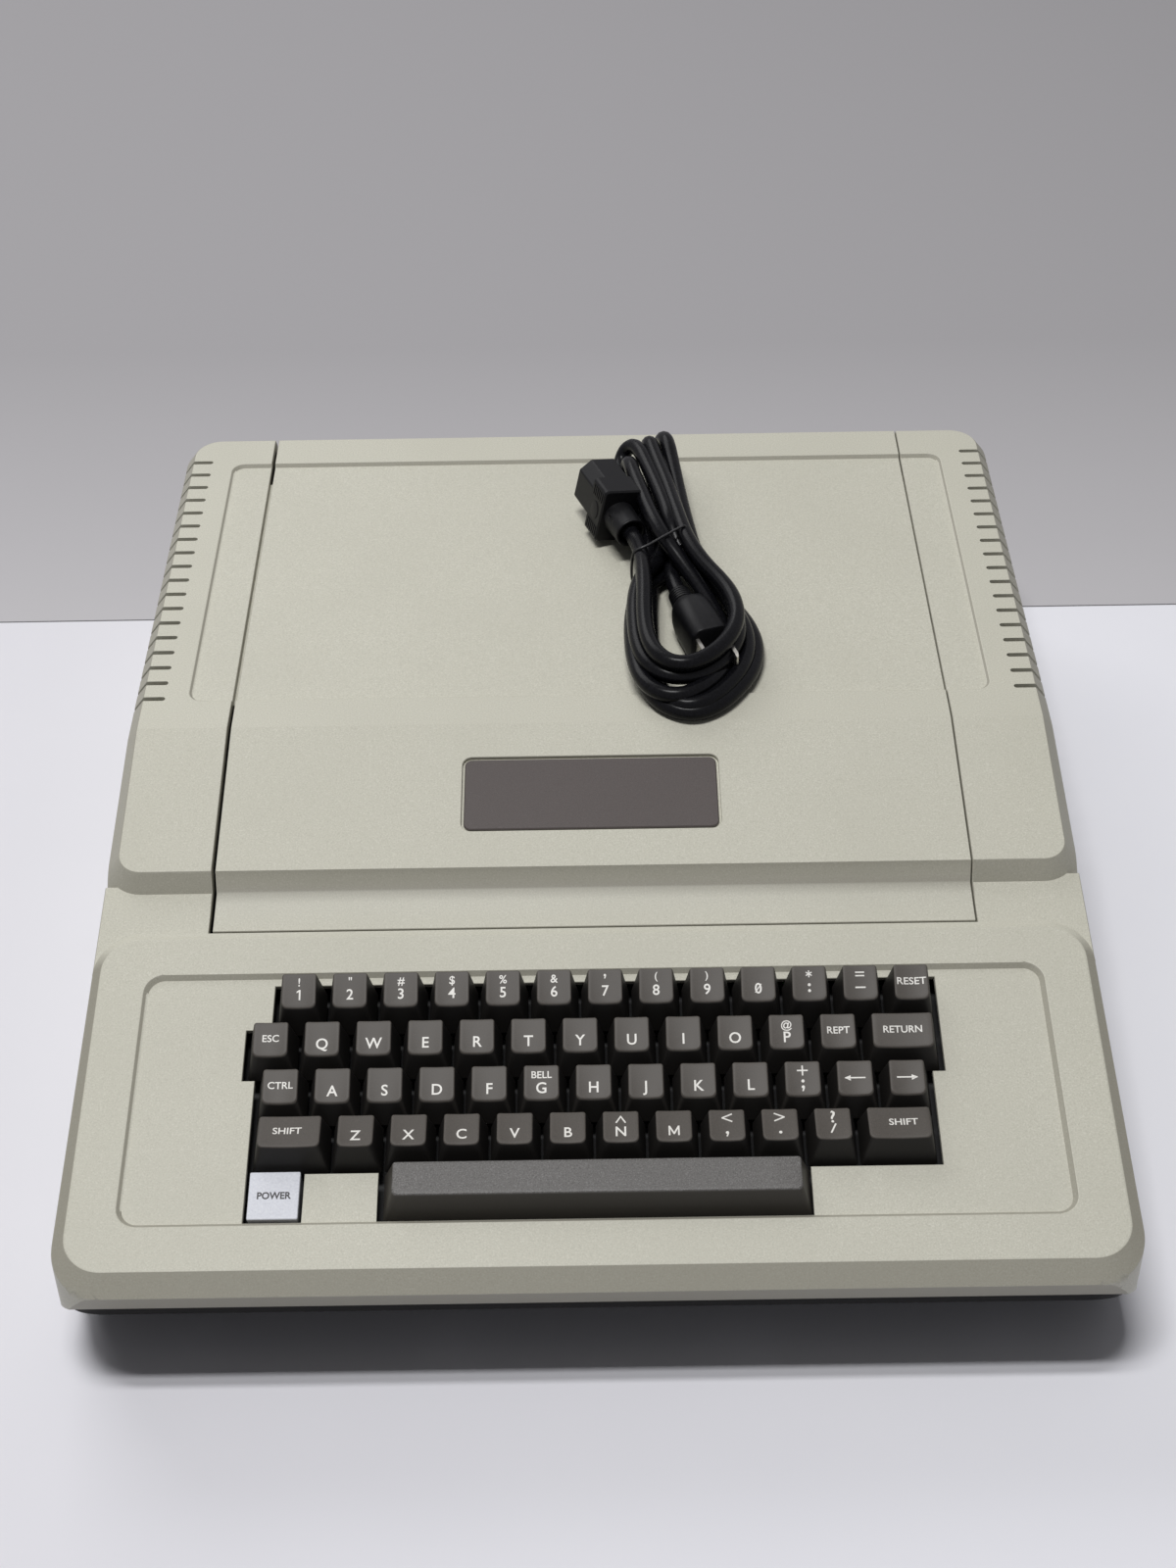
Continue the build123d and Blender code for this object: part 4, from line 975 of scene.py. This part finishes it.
def joined(name, *meshes):
    """One mesh from several; its finishes are given when it is shown."""
    work = bmesh.new()
    for mesh in meshes:
        work.from_mesh(mesh)
    result = bpy.data.meshes.new(name)
    work.to_mesh(result)
    work.free()
    return result


print("tree:", len(block_rows.nodes), "nodes and", len(block_sockets), "inputs")

# %% [markdown]
# ### Appliance connector
# The grip is a rubber block with bevelled ends, so it is a stack of four outlines. The hard
# insert in it has two cut corners and three slots for the inlet's blades. A Boolean cuts them.

# %% Appliance connector
grip_half, grip_side, grip_start, grip_end, grip_round = 13.0, 9.25, 14.0, 27.0, 0.7
insert_end, insert_round, slot_depth, slot_half = 44.0, 0.7, 9.0, (1.1, 2.8)
rib_size, rib_step, rib_side, first_rib = (4.6, 0.6, 0.8), (0, 0, 1.7), 8.4, 16.2
connector_seat = ((19.5, 122.5, 121.4), (0.2086, 0.0843, 0.9744), (-0.3746, 0.9272, 0.0))

mould = Mould()
small = (grip_half - grip_round, grip_side - grip_round, 1.6)
mould.loft([
    slab(*small, grip_start), slab(grip_half, grip_side, 2.0, grip_start + grip_round),
    slab(grip_half, grip_side, 2.0, grip_end - grip_round), slab(*small, grip_end),
])
grip = mould.mesh("connector_grip")

mould, slots = Mould(), Mould()
insert_outline = np.array([
    (11.75, 8.25), (-11.75, 8.25), (-11.75, -3.25), (-6.75, -8.25), (6.75, -8.25), (11.75, -3.25),
])
mould.loft([at_depth(insert_outline, depth) for depth in (grip_end - 1.0, insert_end)])
for middle in ((-7.0, 1.5), (7.0, 1.5), (0.0, -2.5)):
    low, high = np.subtract(middle, slot_half), np.add(middle, slot_half)
    slots.block((*low, insert_end - slot_depth), (*high, insert_end + 1.0))
bevel = {"width": insert_round * MM, "segments": 2, "angle_limit": math.radians(30),
         "harden_normals": True}
insert = cut_out(evaluated(mould.mesh("connector_insert"), ("BEVEL", bevel)), slots)

mould, mark = Mould(), Mould()
turned(mould, [(7.6, grip_start + 0.8), (7.3, grip_start - 0.6), (7.1, 6.0), (6.9, 1.4),
               (6.95, 0.5), (6.7, 0.05), (6.0, 0.0), (5.6, 0.4), (5.3, 1.5), (5.2, 5.5)])
turned(mould, [(cord_diameter / 2, -0.4), (cord_diameter / 2, 6.0)], 24)
mark.block((2.0, -8.0, 9.6), (3.1, -5.4, 10.7))
relief = cut_out(mould.mesh("connector_relief"), mark)

mould = Mould()
oval, oval_middle = circle(1.0, 32) * (4.25, 3.45), 20.5
mould.loft([
    np.column_stack([
        oval[:, 0] * grow, np.full(len(oval), -grip_side - lift), oval_middle + oval[:, 1] * grow])
    for grow, lift in ((1.0, 0.0), (1.0, 0.22), (0.86, 0.3))
])
ribs = [
    blocks(fitting_rubber, 6, 1, rib_step, (0, 0, 0), rib_size, (x, -grip_side, first_rib))
    for x in (-rib_side, rib_side)
]
connector_mesh = seated(
    joined("lead_connector_body", grip, insert, relief, mould.mesh("connector_oval"), *ribs),
    *connector_seat,
)
connector = show("lead_connector_body", connector_mesh, "cover", [fitting_rubber],
                 "lead_connector")
print("connector:", len(connector_mesh.polygons), "faces")

# %% [markdown]
# ### Plug
# A moulded plug is one rubber block with two flat blades and a round earth pin, and a ribbed
# neck that swells towards the block. It is turned and stacked in the same way as the connector.

# %% Plug
blade_start, blade_end, first_ring, ring_step = 38.5, 54.5, 0.6, 1.5
plug_seat = ((39.0, 84.0, 117.15), (0.951, 0.309, 0.0), (0.309, -0.951, 0.0))

mould = Mould()
profile = [(4.4, 0.0)]
for ring in range(5):
    start, swell = first_ring + ring_step * ring, 0.16 * ring
    profile += [(4.7 + swell, start), (4.7 + swell, start + 0.9), (4.1 + swell, start + 1.0),
                (4.1 + swell, start + 1.4)]
turned(mould, profile + [(5.6, 8.4), (6.0, 9.0), (6.0, 13.0)], 32)
mould.loft([slab(*ring) for ring in (
    (6.2, 6.6, 5.6, 11.0), (7.4, 8.2, 6.6, 12.0), (7.9, 9.8, 6.4, 14.0), (8.25, 10.5, 5.8, 18.0),
    (8.25, 10.5, 5.2, 26.0), (8.25, 10.5, 4.8, 37.8), (7.9, 10.2, 4.5, 38.6), (7.3, 9.6, 4.0, 39.0),
)])
blade_rings = [
    (0.75, -0.15, 6.15, blade_start), (0.75, -0.15, 6.15, 53.0), (0.4, 0.9, 5.1, blade_end),
]
for x in (-6.0, 6.0):
    mould.loft([
        [(x + side * half, y, depth) for side, y in ((-1, low), (1, low), (1, high), (-1, high))]
        for half, low, high, depth in blade_rings
    ], finish=1)
turned(mould, [(2.3, blade_start), (2.3, 52.2), (2.0, 53.4), (1.2, 54.2), (0.5, blade_end)],
       20, (0.0, -4.0), finish=1)
blade_metal = Finish("blade_metal", 0.28, Metallic=1.0)
wear = blade_metal.noise(3.0, 3.0)
blade_metal.set("Base Color", blade_metal.blend(wear, paint(206, 204, 198), paint(178, 174, 166)))
blade_metal.set("Roughness", 0.22 + 0.2 * wear)
plug_mesh = seated(mould.mesh("lead_plug_body"), *plug_seat)
plug = show("lead_plug_body", plug_mesh, "cover", [fitting_rubber, blade_metal],
            "lead_plug")
print("plug:", len(plug_mesh.polygons), "faces")

# %% [markdown]
# ### Wire tie
# A thin plastic-covered wire is wound once round the waist of the hank and twisted. It must lie
# on the strands, so its height over the top is taken from the cord itself at each place.

# %% Helpers for the wire tie
tie_radius, tie_reach = 0.6, 1.6
line = linked("cord_line", cord.data.copy())
line.data.bevel_depth = 0.0
strands = np.array([vertex.co[:] for vertex in as_mesh(line).vertices]) / MM


def over_strands(x, y, lowest):
    """Height of the wire's middle where it crosses the hank at a place."""
    near = strands[np.hypot(strands[:, 0] - x, strands[:, 1] - y) < tie_reach, 2]
    return max(lowest, near.max() + cord_diameter / 2 + tie_radius) if len(near) else lowest


def taut(route):
    """Lifts a route so that it spans the hollows between the strands, as a pulled wire does."""
    route = np.array(route)
    along = np.append(0.0, np.cumsum(np.hypot(*np.diff(route[:, :2], axis=0).T)))
    for middle in range(1, len(route) - 1):
        for before in range(middle):
            for after in range(middle + 1, len(route)):
                span = np.interp(along[middle], along[[before, after]], route[[before, after], 2])
                route[middle, 2] = max(route[middle, 2], span)
    return [tuple(place) for place in route]


def twisted(start, end, turns, radius, phase):
    """Points on a helix about a straight line."""
    line = Vector(end) - Vector(start)
    first = line.cross(Vector((0, 0, 1))).normalized()
    second = line.cross(first).normalized()
    points = []
    for step in np.linspace(0, 1, int(turns * 8) + 1).tolist():
        turn = phase + step * turns * 2 * math.pi
        aside = math.cos(turn) * first + math.sin(turn) * second
        points.append(tuple(Vector(start) + step * line + radius * aside))
    return points


print("the hank's strands are", len(strands), "points")

# %% Wire tie
waist = [
    (19.6, 102, 124.6), (20.8, 101.6, 127.4), (23.5, 101.5, 0), (26.5, 102.8, 0),
    (29.5, 104.8, 0), (32.5, 106.8, 0), (35.4, 108.6, 0), (38, 110.3, 0), (40.8, 112, 0),
    (43.4, 113.2, 0), (45.4, 113.6, 0),
]
waist = taut([(x, y, over_strands(x, y, z)) for x, y, z in waist])
under = [
    (47.4, 112.4, 122), (47, 111.4, 113), (43, 110, 107.6), (34, 107.5, 107.4),
    (24, 104.6, 107.4), (19.6, 103.4, 109), (19.2, 102.8, 114), (19.3, 102.3, 119.6),
]
knot = Vector(waist[-1]) + Vector((0.4, -0.3, 0.2))
twist_end = knot + Vector((-5.6, -6.2, -0.6))
hook = [(0, 0, 0), (2, -0.6, -0.4), (3.2, -2.4, -1.6), (3.4, -4.6, -3.2), (2.6, -6.2, -4.2)]
tie_shapes = [
    free_curve("tie_loop", under + waist, tie_radius, 6),
    free_curve("tie_hook", [tuple(knot + Vector(step)) for step in hook], tie_radius, 5),
]
for phase in (0.0, math.pi):
    helix = twisted(knot, twist_end, turns=1.6, radius=0.55, phase=phase)
    tie_shapes.append(free_curve("tie_twist", helix, 0.5, 4))
tie_mesh = joined("wire_tie", *(as_mesh(shape) for shape in tie_shapes))
tie_mesh.shade_smooth()
tie_plastic = grained_plastic(
    "tie_plastic", (15, 15, 17), (22, 22, 24), (10, 10, 11), 0.8, 0.01, 0.3
)
wire_tie = show("wire_tie", tie_mesh, "cover", [tie_plastic])
print("wire tie:", len(tie_mesh.polygons), "faces")

# %% [markdown]
# ## Power lamp
# The lamp is a plain pale window beside the space bar, with rounded edges, that lights up from
# below. Its word is printed in dark ink, so it is a thin raised mesh like the key legends.

# %% Power lamp
lamp_low, lamp_high, lamp_top, lamp_foot = (-124.1, -85.72), (-106.0, -67.25), 0.7, -10.8
lamp_middle = (np.array(lamp_low) + lamp_high) / 2
lamp_half = (np.array(lamp_high) - lamp_low) / 2
lamp_round, lamp_edge, print_depth, print_width = 0.6, 0.25, 0.3, 0.93


def lamp_ring(inset, radius, off):
    half, side = lamp_half - inset
    return at_depth(rounded_outline(half, -side, side, radius) + lamp_middle, off)


mould = Mould()
mould.loft([
    lamp_ring(0.0, lamp_round, lamp_foot), lamp_ring(0.0, lamp_round, lamp_top - lamp_edge),
    lamp_ring(lamp_edge, 0.5, lamp_top - 0.02),
])
points, faces = text_mesh("POWER", 0.03)
scale = word_height / capital_height
word = np.column_stack([
    points[:, 0] * scale * print_width + lamp_middle[0],
    points[:, 1] * scale + lamp_middle[1] - word_height / 2,
    np.where(points[:, 2] > 0, lamp_top, lamp_top - print_depth),
])
mould.add(word, faces, finish=1)
lens_plastic = grained_plastic(
    "lens_plastic", (215, 217, 225), (223, 225, 231), (207, 209, 217), 0.8, 0.01, 0.35
)
dark_ink = grained_plastic("dark_ink", (36, 34, 37), (48, 46, 49), (28, 26, 29), 0.5, 0.01, 0.5)
lamp_mesh = mould.mesh("power_lamp_lens", from_keyboard, sharp=25)
show("power_lamp_lens", lamp_mesh, "case", [lens_plastic, dark_ink], "power_lamp")
print("power lamp:", len(lamp_mesh.polygons), "faces")

# %% [markdown]
# ## Pieces that keep their engineering shape
# The rest is flat or hidden in use, and its shape is right as it is, so it only gets a finish.
# The main board is one solid with its chips and jacks, so its finish changes with the height:
# green lacquer with faint copper tracks below, black moulded packages above, metal collars behind.

# %% Finishes for the other nodes
def metal(name, light, dark, roughness, grain):
    """A worn metal, with cloudy patches."""
    finish = Finish(name, roughness, Metallic=1.0)
    patches = finish.noise(grain, 3.0)
    finish.set("Base Color", finish.blend(patches, paint(*light), paint(*dark)))
    finish.set("Roughness", roughness - 0.08 + 0.2 * patches)
    finish.bump(patches, 0.01)
    return finish


def past(finish, axis, distance):
    """1 where the place along an axis lies past a distance in millimetres, else 0."""
    place = finish.part(finish.place, axis)
    return place.math("GREATER_THAN", place, distance * MM)


steel = metal("steel", (176, 176, 178), (142, 142, 146), 0.34, 2.5)
zinc = metal("zinc_plate", (188, 190, 190), (150, 153, 156), 0.42, 14.0)
contact_gold = metal("contact_gold", (214, 178, 104), (186, 148, 82), 0.3, 2.0)
black_plastic = grained_plastic(
    "black_plastic", (13, 13, 14), (18, 18, 19), (9, 9, 9), 0.6, 0.02, 0.7
)
rubber = grained_plastic(
    "foot_rubber", (26, 26, 26), (38, 37, 36), (17, 17, 17), 0.9, 0.04, 0.85
)
socket_plastic = grained_plastic(
    "socket_plastic", (30, 52, 44), (38, 62, 52), (24, 42, 36), 0.8, 0.02, 0.45
)
speaker_paper = grained_plastic(
    "speaker_paper", (44, 40, 36), (60, 54, 48), (30, 28, 26), 1.2, 0.08, 0.9
)
board_top, collars_from = 19.65, 221.05
lacquer = Finish("board_lacquer", 0.4)
tracks = lacquer.ramp(lacquer.pebbles(3.2), (0.0, 0.0), (0.40, 0.0), (0.52, 1.0), (1.0, 1.0))
green = lacquer.blend(tracks, paint(30, 84, 50), paint(48, 104, 60))
package = lacquer.blend(lacquer.noise(1.5, 3.0), paint(24, 24, 26), paint(40, 40, 42))
above = past(lacquer, 2, board_top)
collar = past(lacquer, 1, collars_from)
board_colour = lacquer.blend(above, green, package)
lacquer.set("Base Color", lacquer.blend(collar, board_colour, paint(190, 190, 192)))
lacquer.set("Metallic", collar)
lacquer.set("Roughness", 0.36 + 0.16 * above)
lacquer.bump(lacquer.noise(1.2, 2.0), 0.01)
dressed = {
    "badge_plate": badge_plastic, "base_plate": base_plastic, "rubber_feet": rubber,
    "case_screws": steel, "key_switches": black_plastic, "keyboard_frame": black_plastic,
    "keyboard_board": lacquer, "main_board": lacquer, "expansion_sockets": socket_plastic,
    "power_supply_box": zinc, "mains_inlet": black_plastic, "power_switch": black_plastic,
    "speaker": speaker_paper,
}
for node, finish in dressed.items():
    for place in frame["nodes"][node].material_slots:
        place.material = finish.material
print(len(dressed), "nodes dressed")

# %% [markdown]
# ## Legs, contacts and blades
# Each chip stands on two rows of tinned legs, each socket has two rows of gilt spring contacts
# along its slot, and the mains inlet has three metal blades. All are blocks in rows.

# %% Chip legs, socket contacts and inlet blades
leg_pitch, leg_size, turned_leg, leg_height = 2.54, (0.5, 0.9, 2.6), (0.9, 0.5, 2.6), board_top + 1.2
board_middle, small_chips, small_step, small_row_step = 48.0, -50.0, 28.0, 16.0
long_chip, turned_chips, turned_step, turned_width = 72.0, 32.0, 38.0, 14.9
first_socket, socket_step, contact_pitch, contact_side = -60.0, 20.32, 3.3, 0.93
contact_size, blade_size, blade_pitch = (0.3, 1.3, 7.0), (2.1, 10.6, 4.1), (14.0, 0, 0)


def chip_legs(x, y, width, count):
    """Two rows of legs along a chip's long sides, the long side across."""
    apart = width + leg_size[1]
    start = (x - (count - 1) * leg_pitch / 2, y - apart / 2, leg_height)
    return blocks(steel, count, 2, (leg_pitch, 0, 0), (0, apart, 0), leg_size, start)


leg_meshes = [
    chip_legs(board_middle + (column - 3.5) * small_step, small_chips + row * small_row_step, 7.0, 7)
    for column in range(8) for row in (-1, 0, 1)
]
leg_meshes.append(chip_legs(board_middle, long_chip, 14.0, 20))
for column in range(6):
    x = board_middle + (column - 2.5) * turned_step - turned_width / 2
    start = (x, turned_chips - 5.5 * leg_pitch, leg_height)
    leg_meshes.append(
        blocks(steel, 12, 2, (0, leg_pitch, 0), (turned_width, 0, 0), turned_leg, start))
contact_meshes = [
    blocks(contact_gold, 25, 8, (0, contact_pitch, 0), (socket_step, 0, 0), contact_size,
           (first_socket + side, 118.4, 29.6))
    for side in (-contact_side, contact_side)
]
blade_meshes = [
    blocks(steel, count, 1, blade_pitch, (0, 0, 0), blade_size, (x, 216.1, z))
    for count, x, z in ((2, -122.0, 44.0), (1, -115.0, 48.0))
]
for name, meshes, finish in (
    ("chip_legs", leg_meshes, steel), ("socket_contacts", contact_meshes, contact_gold),
    ("inlet_blades", blade_meshes, steel),
):
    piece = show(name, joined(name, *meshes), "case", [finish])
    print(name, len(piece.data.polygons), "faces")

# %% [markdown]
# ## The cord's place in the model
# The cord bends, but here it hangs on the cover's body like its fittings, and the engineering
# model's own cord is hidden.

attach(cord, "cover")
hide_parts("mains_lead")
print("cord of", cord_length, "mm declared")

# %% [markdown]
# ## Floor, backdrop and light
# A white table top, and behind it a pale grey backdrop that starts right at the computer's back,
# with a narrow strip of painted shadow between them. The table is painted in light and shade,
# paler towards the right, and the backdrop is painted darker farther back. All lie flat, so that
# the computer can be seen from behind as well. The light comes from two long soft panels
# overhead, a little to the left, so that the front casts a narrow shadow, and a wide one fills in
# from behind.

# %% Floor and backdrop
wide, table_end, gap_end, backdrop_end = 3000.0, 220.0, 221.0, 6000.0


def flat_sheet(name, front, rear, finish):
    """A flat sheet on the floor between two depths, in millimetres."""
    mesh = bpy.data.meshes.new(name)
    corners = [(-wide, front), (wide, front), (wide, rear), (-wide, rear)]
    mesh.from_pydata([(x * MM, y * MM, 0.0) for x, y in corners], [], [(0, 1, 2, 3)])
    mesh.materials.append(finish.material)
    linked(name, mesh)


def along(finish, axis, near, far):
    """Goes from 0 to 1 between two distances along an axis, in millimetres."""
    inputs = {"Value": finish.part(finish.place, axis), "From Min": near * MM, "From Max": far * MM}
    return finish.node("ShaderNodeMapRange", {}, inputs)


table_white = Finish("table_white", 0.55)
cloud = table_white.noise(90.0, 2.0)
# Painted light and shade: the table's white is darker on the left and paler on the right.
left_white = table_white.blend(cloud, paint(224, 223, 229), paint(228, 227, 233))
right_white = table_white.blend(cloud, paint(240, 240, 247), paint(244, 244, 250))
rightward = along(table_white, 0, -260, 240)
table_white.set("Base Color", table_white.blend(rightward, left_white, right_white))
table_white.bump(table_white.noise(1.5, 2.0), 0.01)
backdrop_grey = Finish("backdrop_grey", 0.9, Specular_IOR_Level=0.1)
cloud = backdrop_grey.noise(120.0, 2.0)
near_grey = backdrop_grey.blend(cloud, paint(192, 190, 193), paint(196, 194, 197))
# Painted shade: the backdrop's grey darkens farther back from the table.
farther = along(backdrop_grey, 1, 230, 480)
backdrop_grey.set("Base Color", backdrop_grey.blend(farther, near_grey, paint(172, 170, 173)))
backdrop_grey.bump(backdrop_grey.noise(6.0, 2.0), 0.05)
# Painted shadow: a narrow dark sheet between the table and the backdrop stands for the shade in the
# gap there.
gap_shade = grained_plastic(
    "gap_shade", (112, 111, 114), (122, 121, 124), (102, 101, 104), 2.0, 0.01, 0.8
)
flat_sheet("table", -wide, table_end, table_white)
flat_sheet("backdrop", gap_end, backdrop_end, backdrop_grey)
flat_sheet("gap_behind_the_table", table_end, gap_end, gap_shade)
print("floor and backdrop:", 2 * wide, "mm wide")


# %% Lights
def soft_light(name, place, target, sizes, power):
    """A rectangular soft light, in metres and watts, aimed at a target."""
    lamp = bpy.data.lights.new(name, "AREA")
    lamp.shape, lamp.size, lamp.size_y = "RECTANGLE", *sizes
    lamp.energy = power
    aim = (Vector(target) - Vector(place)).to_track_quat("-Z", "Y")
    linked(name, lamp).matrix_world = Matrix.Translation(place) @ aim.to_matrix().to_4x4()


for name, depth, power in (("front_panel", -0.40, 31.0), ("rear_panel", -0.14, 30.0)):
    soft_light(name, (-0.38, depth, 3.0), (-0.38, depth, 0.0), (1.1, 0.14), power)
soft_light("back_fill", (-1.2, 2.0, 1.9), (0.0, 0.0, 0.0), (2.0, 1.2), 21.0)
print(len(bpy.data.lights), "soft lights")

# %% World
world = bpy.data.worlds.new("world")
bpy.context.scene.world = world
world.use_nodes = True
air = Nodes(world.node_tree)
lit, seen = (
    air.node("ShaderNodeBackground", {}, {"Color": paint(*colour), "Strength": strength})
    for colour, strength in (((243, 243, 246), 0.12), ((186, 185, 188), 1.0))
)
ray = world.node_tree.nodes.new("ShaderNodeLightPath")
straight, mirrored, through = (
    Wire(air, ray.outputs[f"Is {kind} Ray"]) for kind in ("Camera", "Glossy", "Transmission")
)
shown = straight.math("MAXIMUM", straight, straight.math("MAXIMUM", mirrored, through))
mixed = air.node("ShaderNodeMixShader", {}, {0: shown, 1: lit, 2: seen})
world.node_tree.links.new(mixed.socket, world.node_tree.nodes["World Output"].inputs["Surface"])
bpy.context.scene.view_settings.view_transform = "Standard"
print("world: a dim light for the object and a pale grey for the lens")
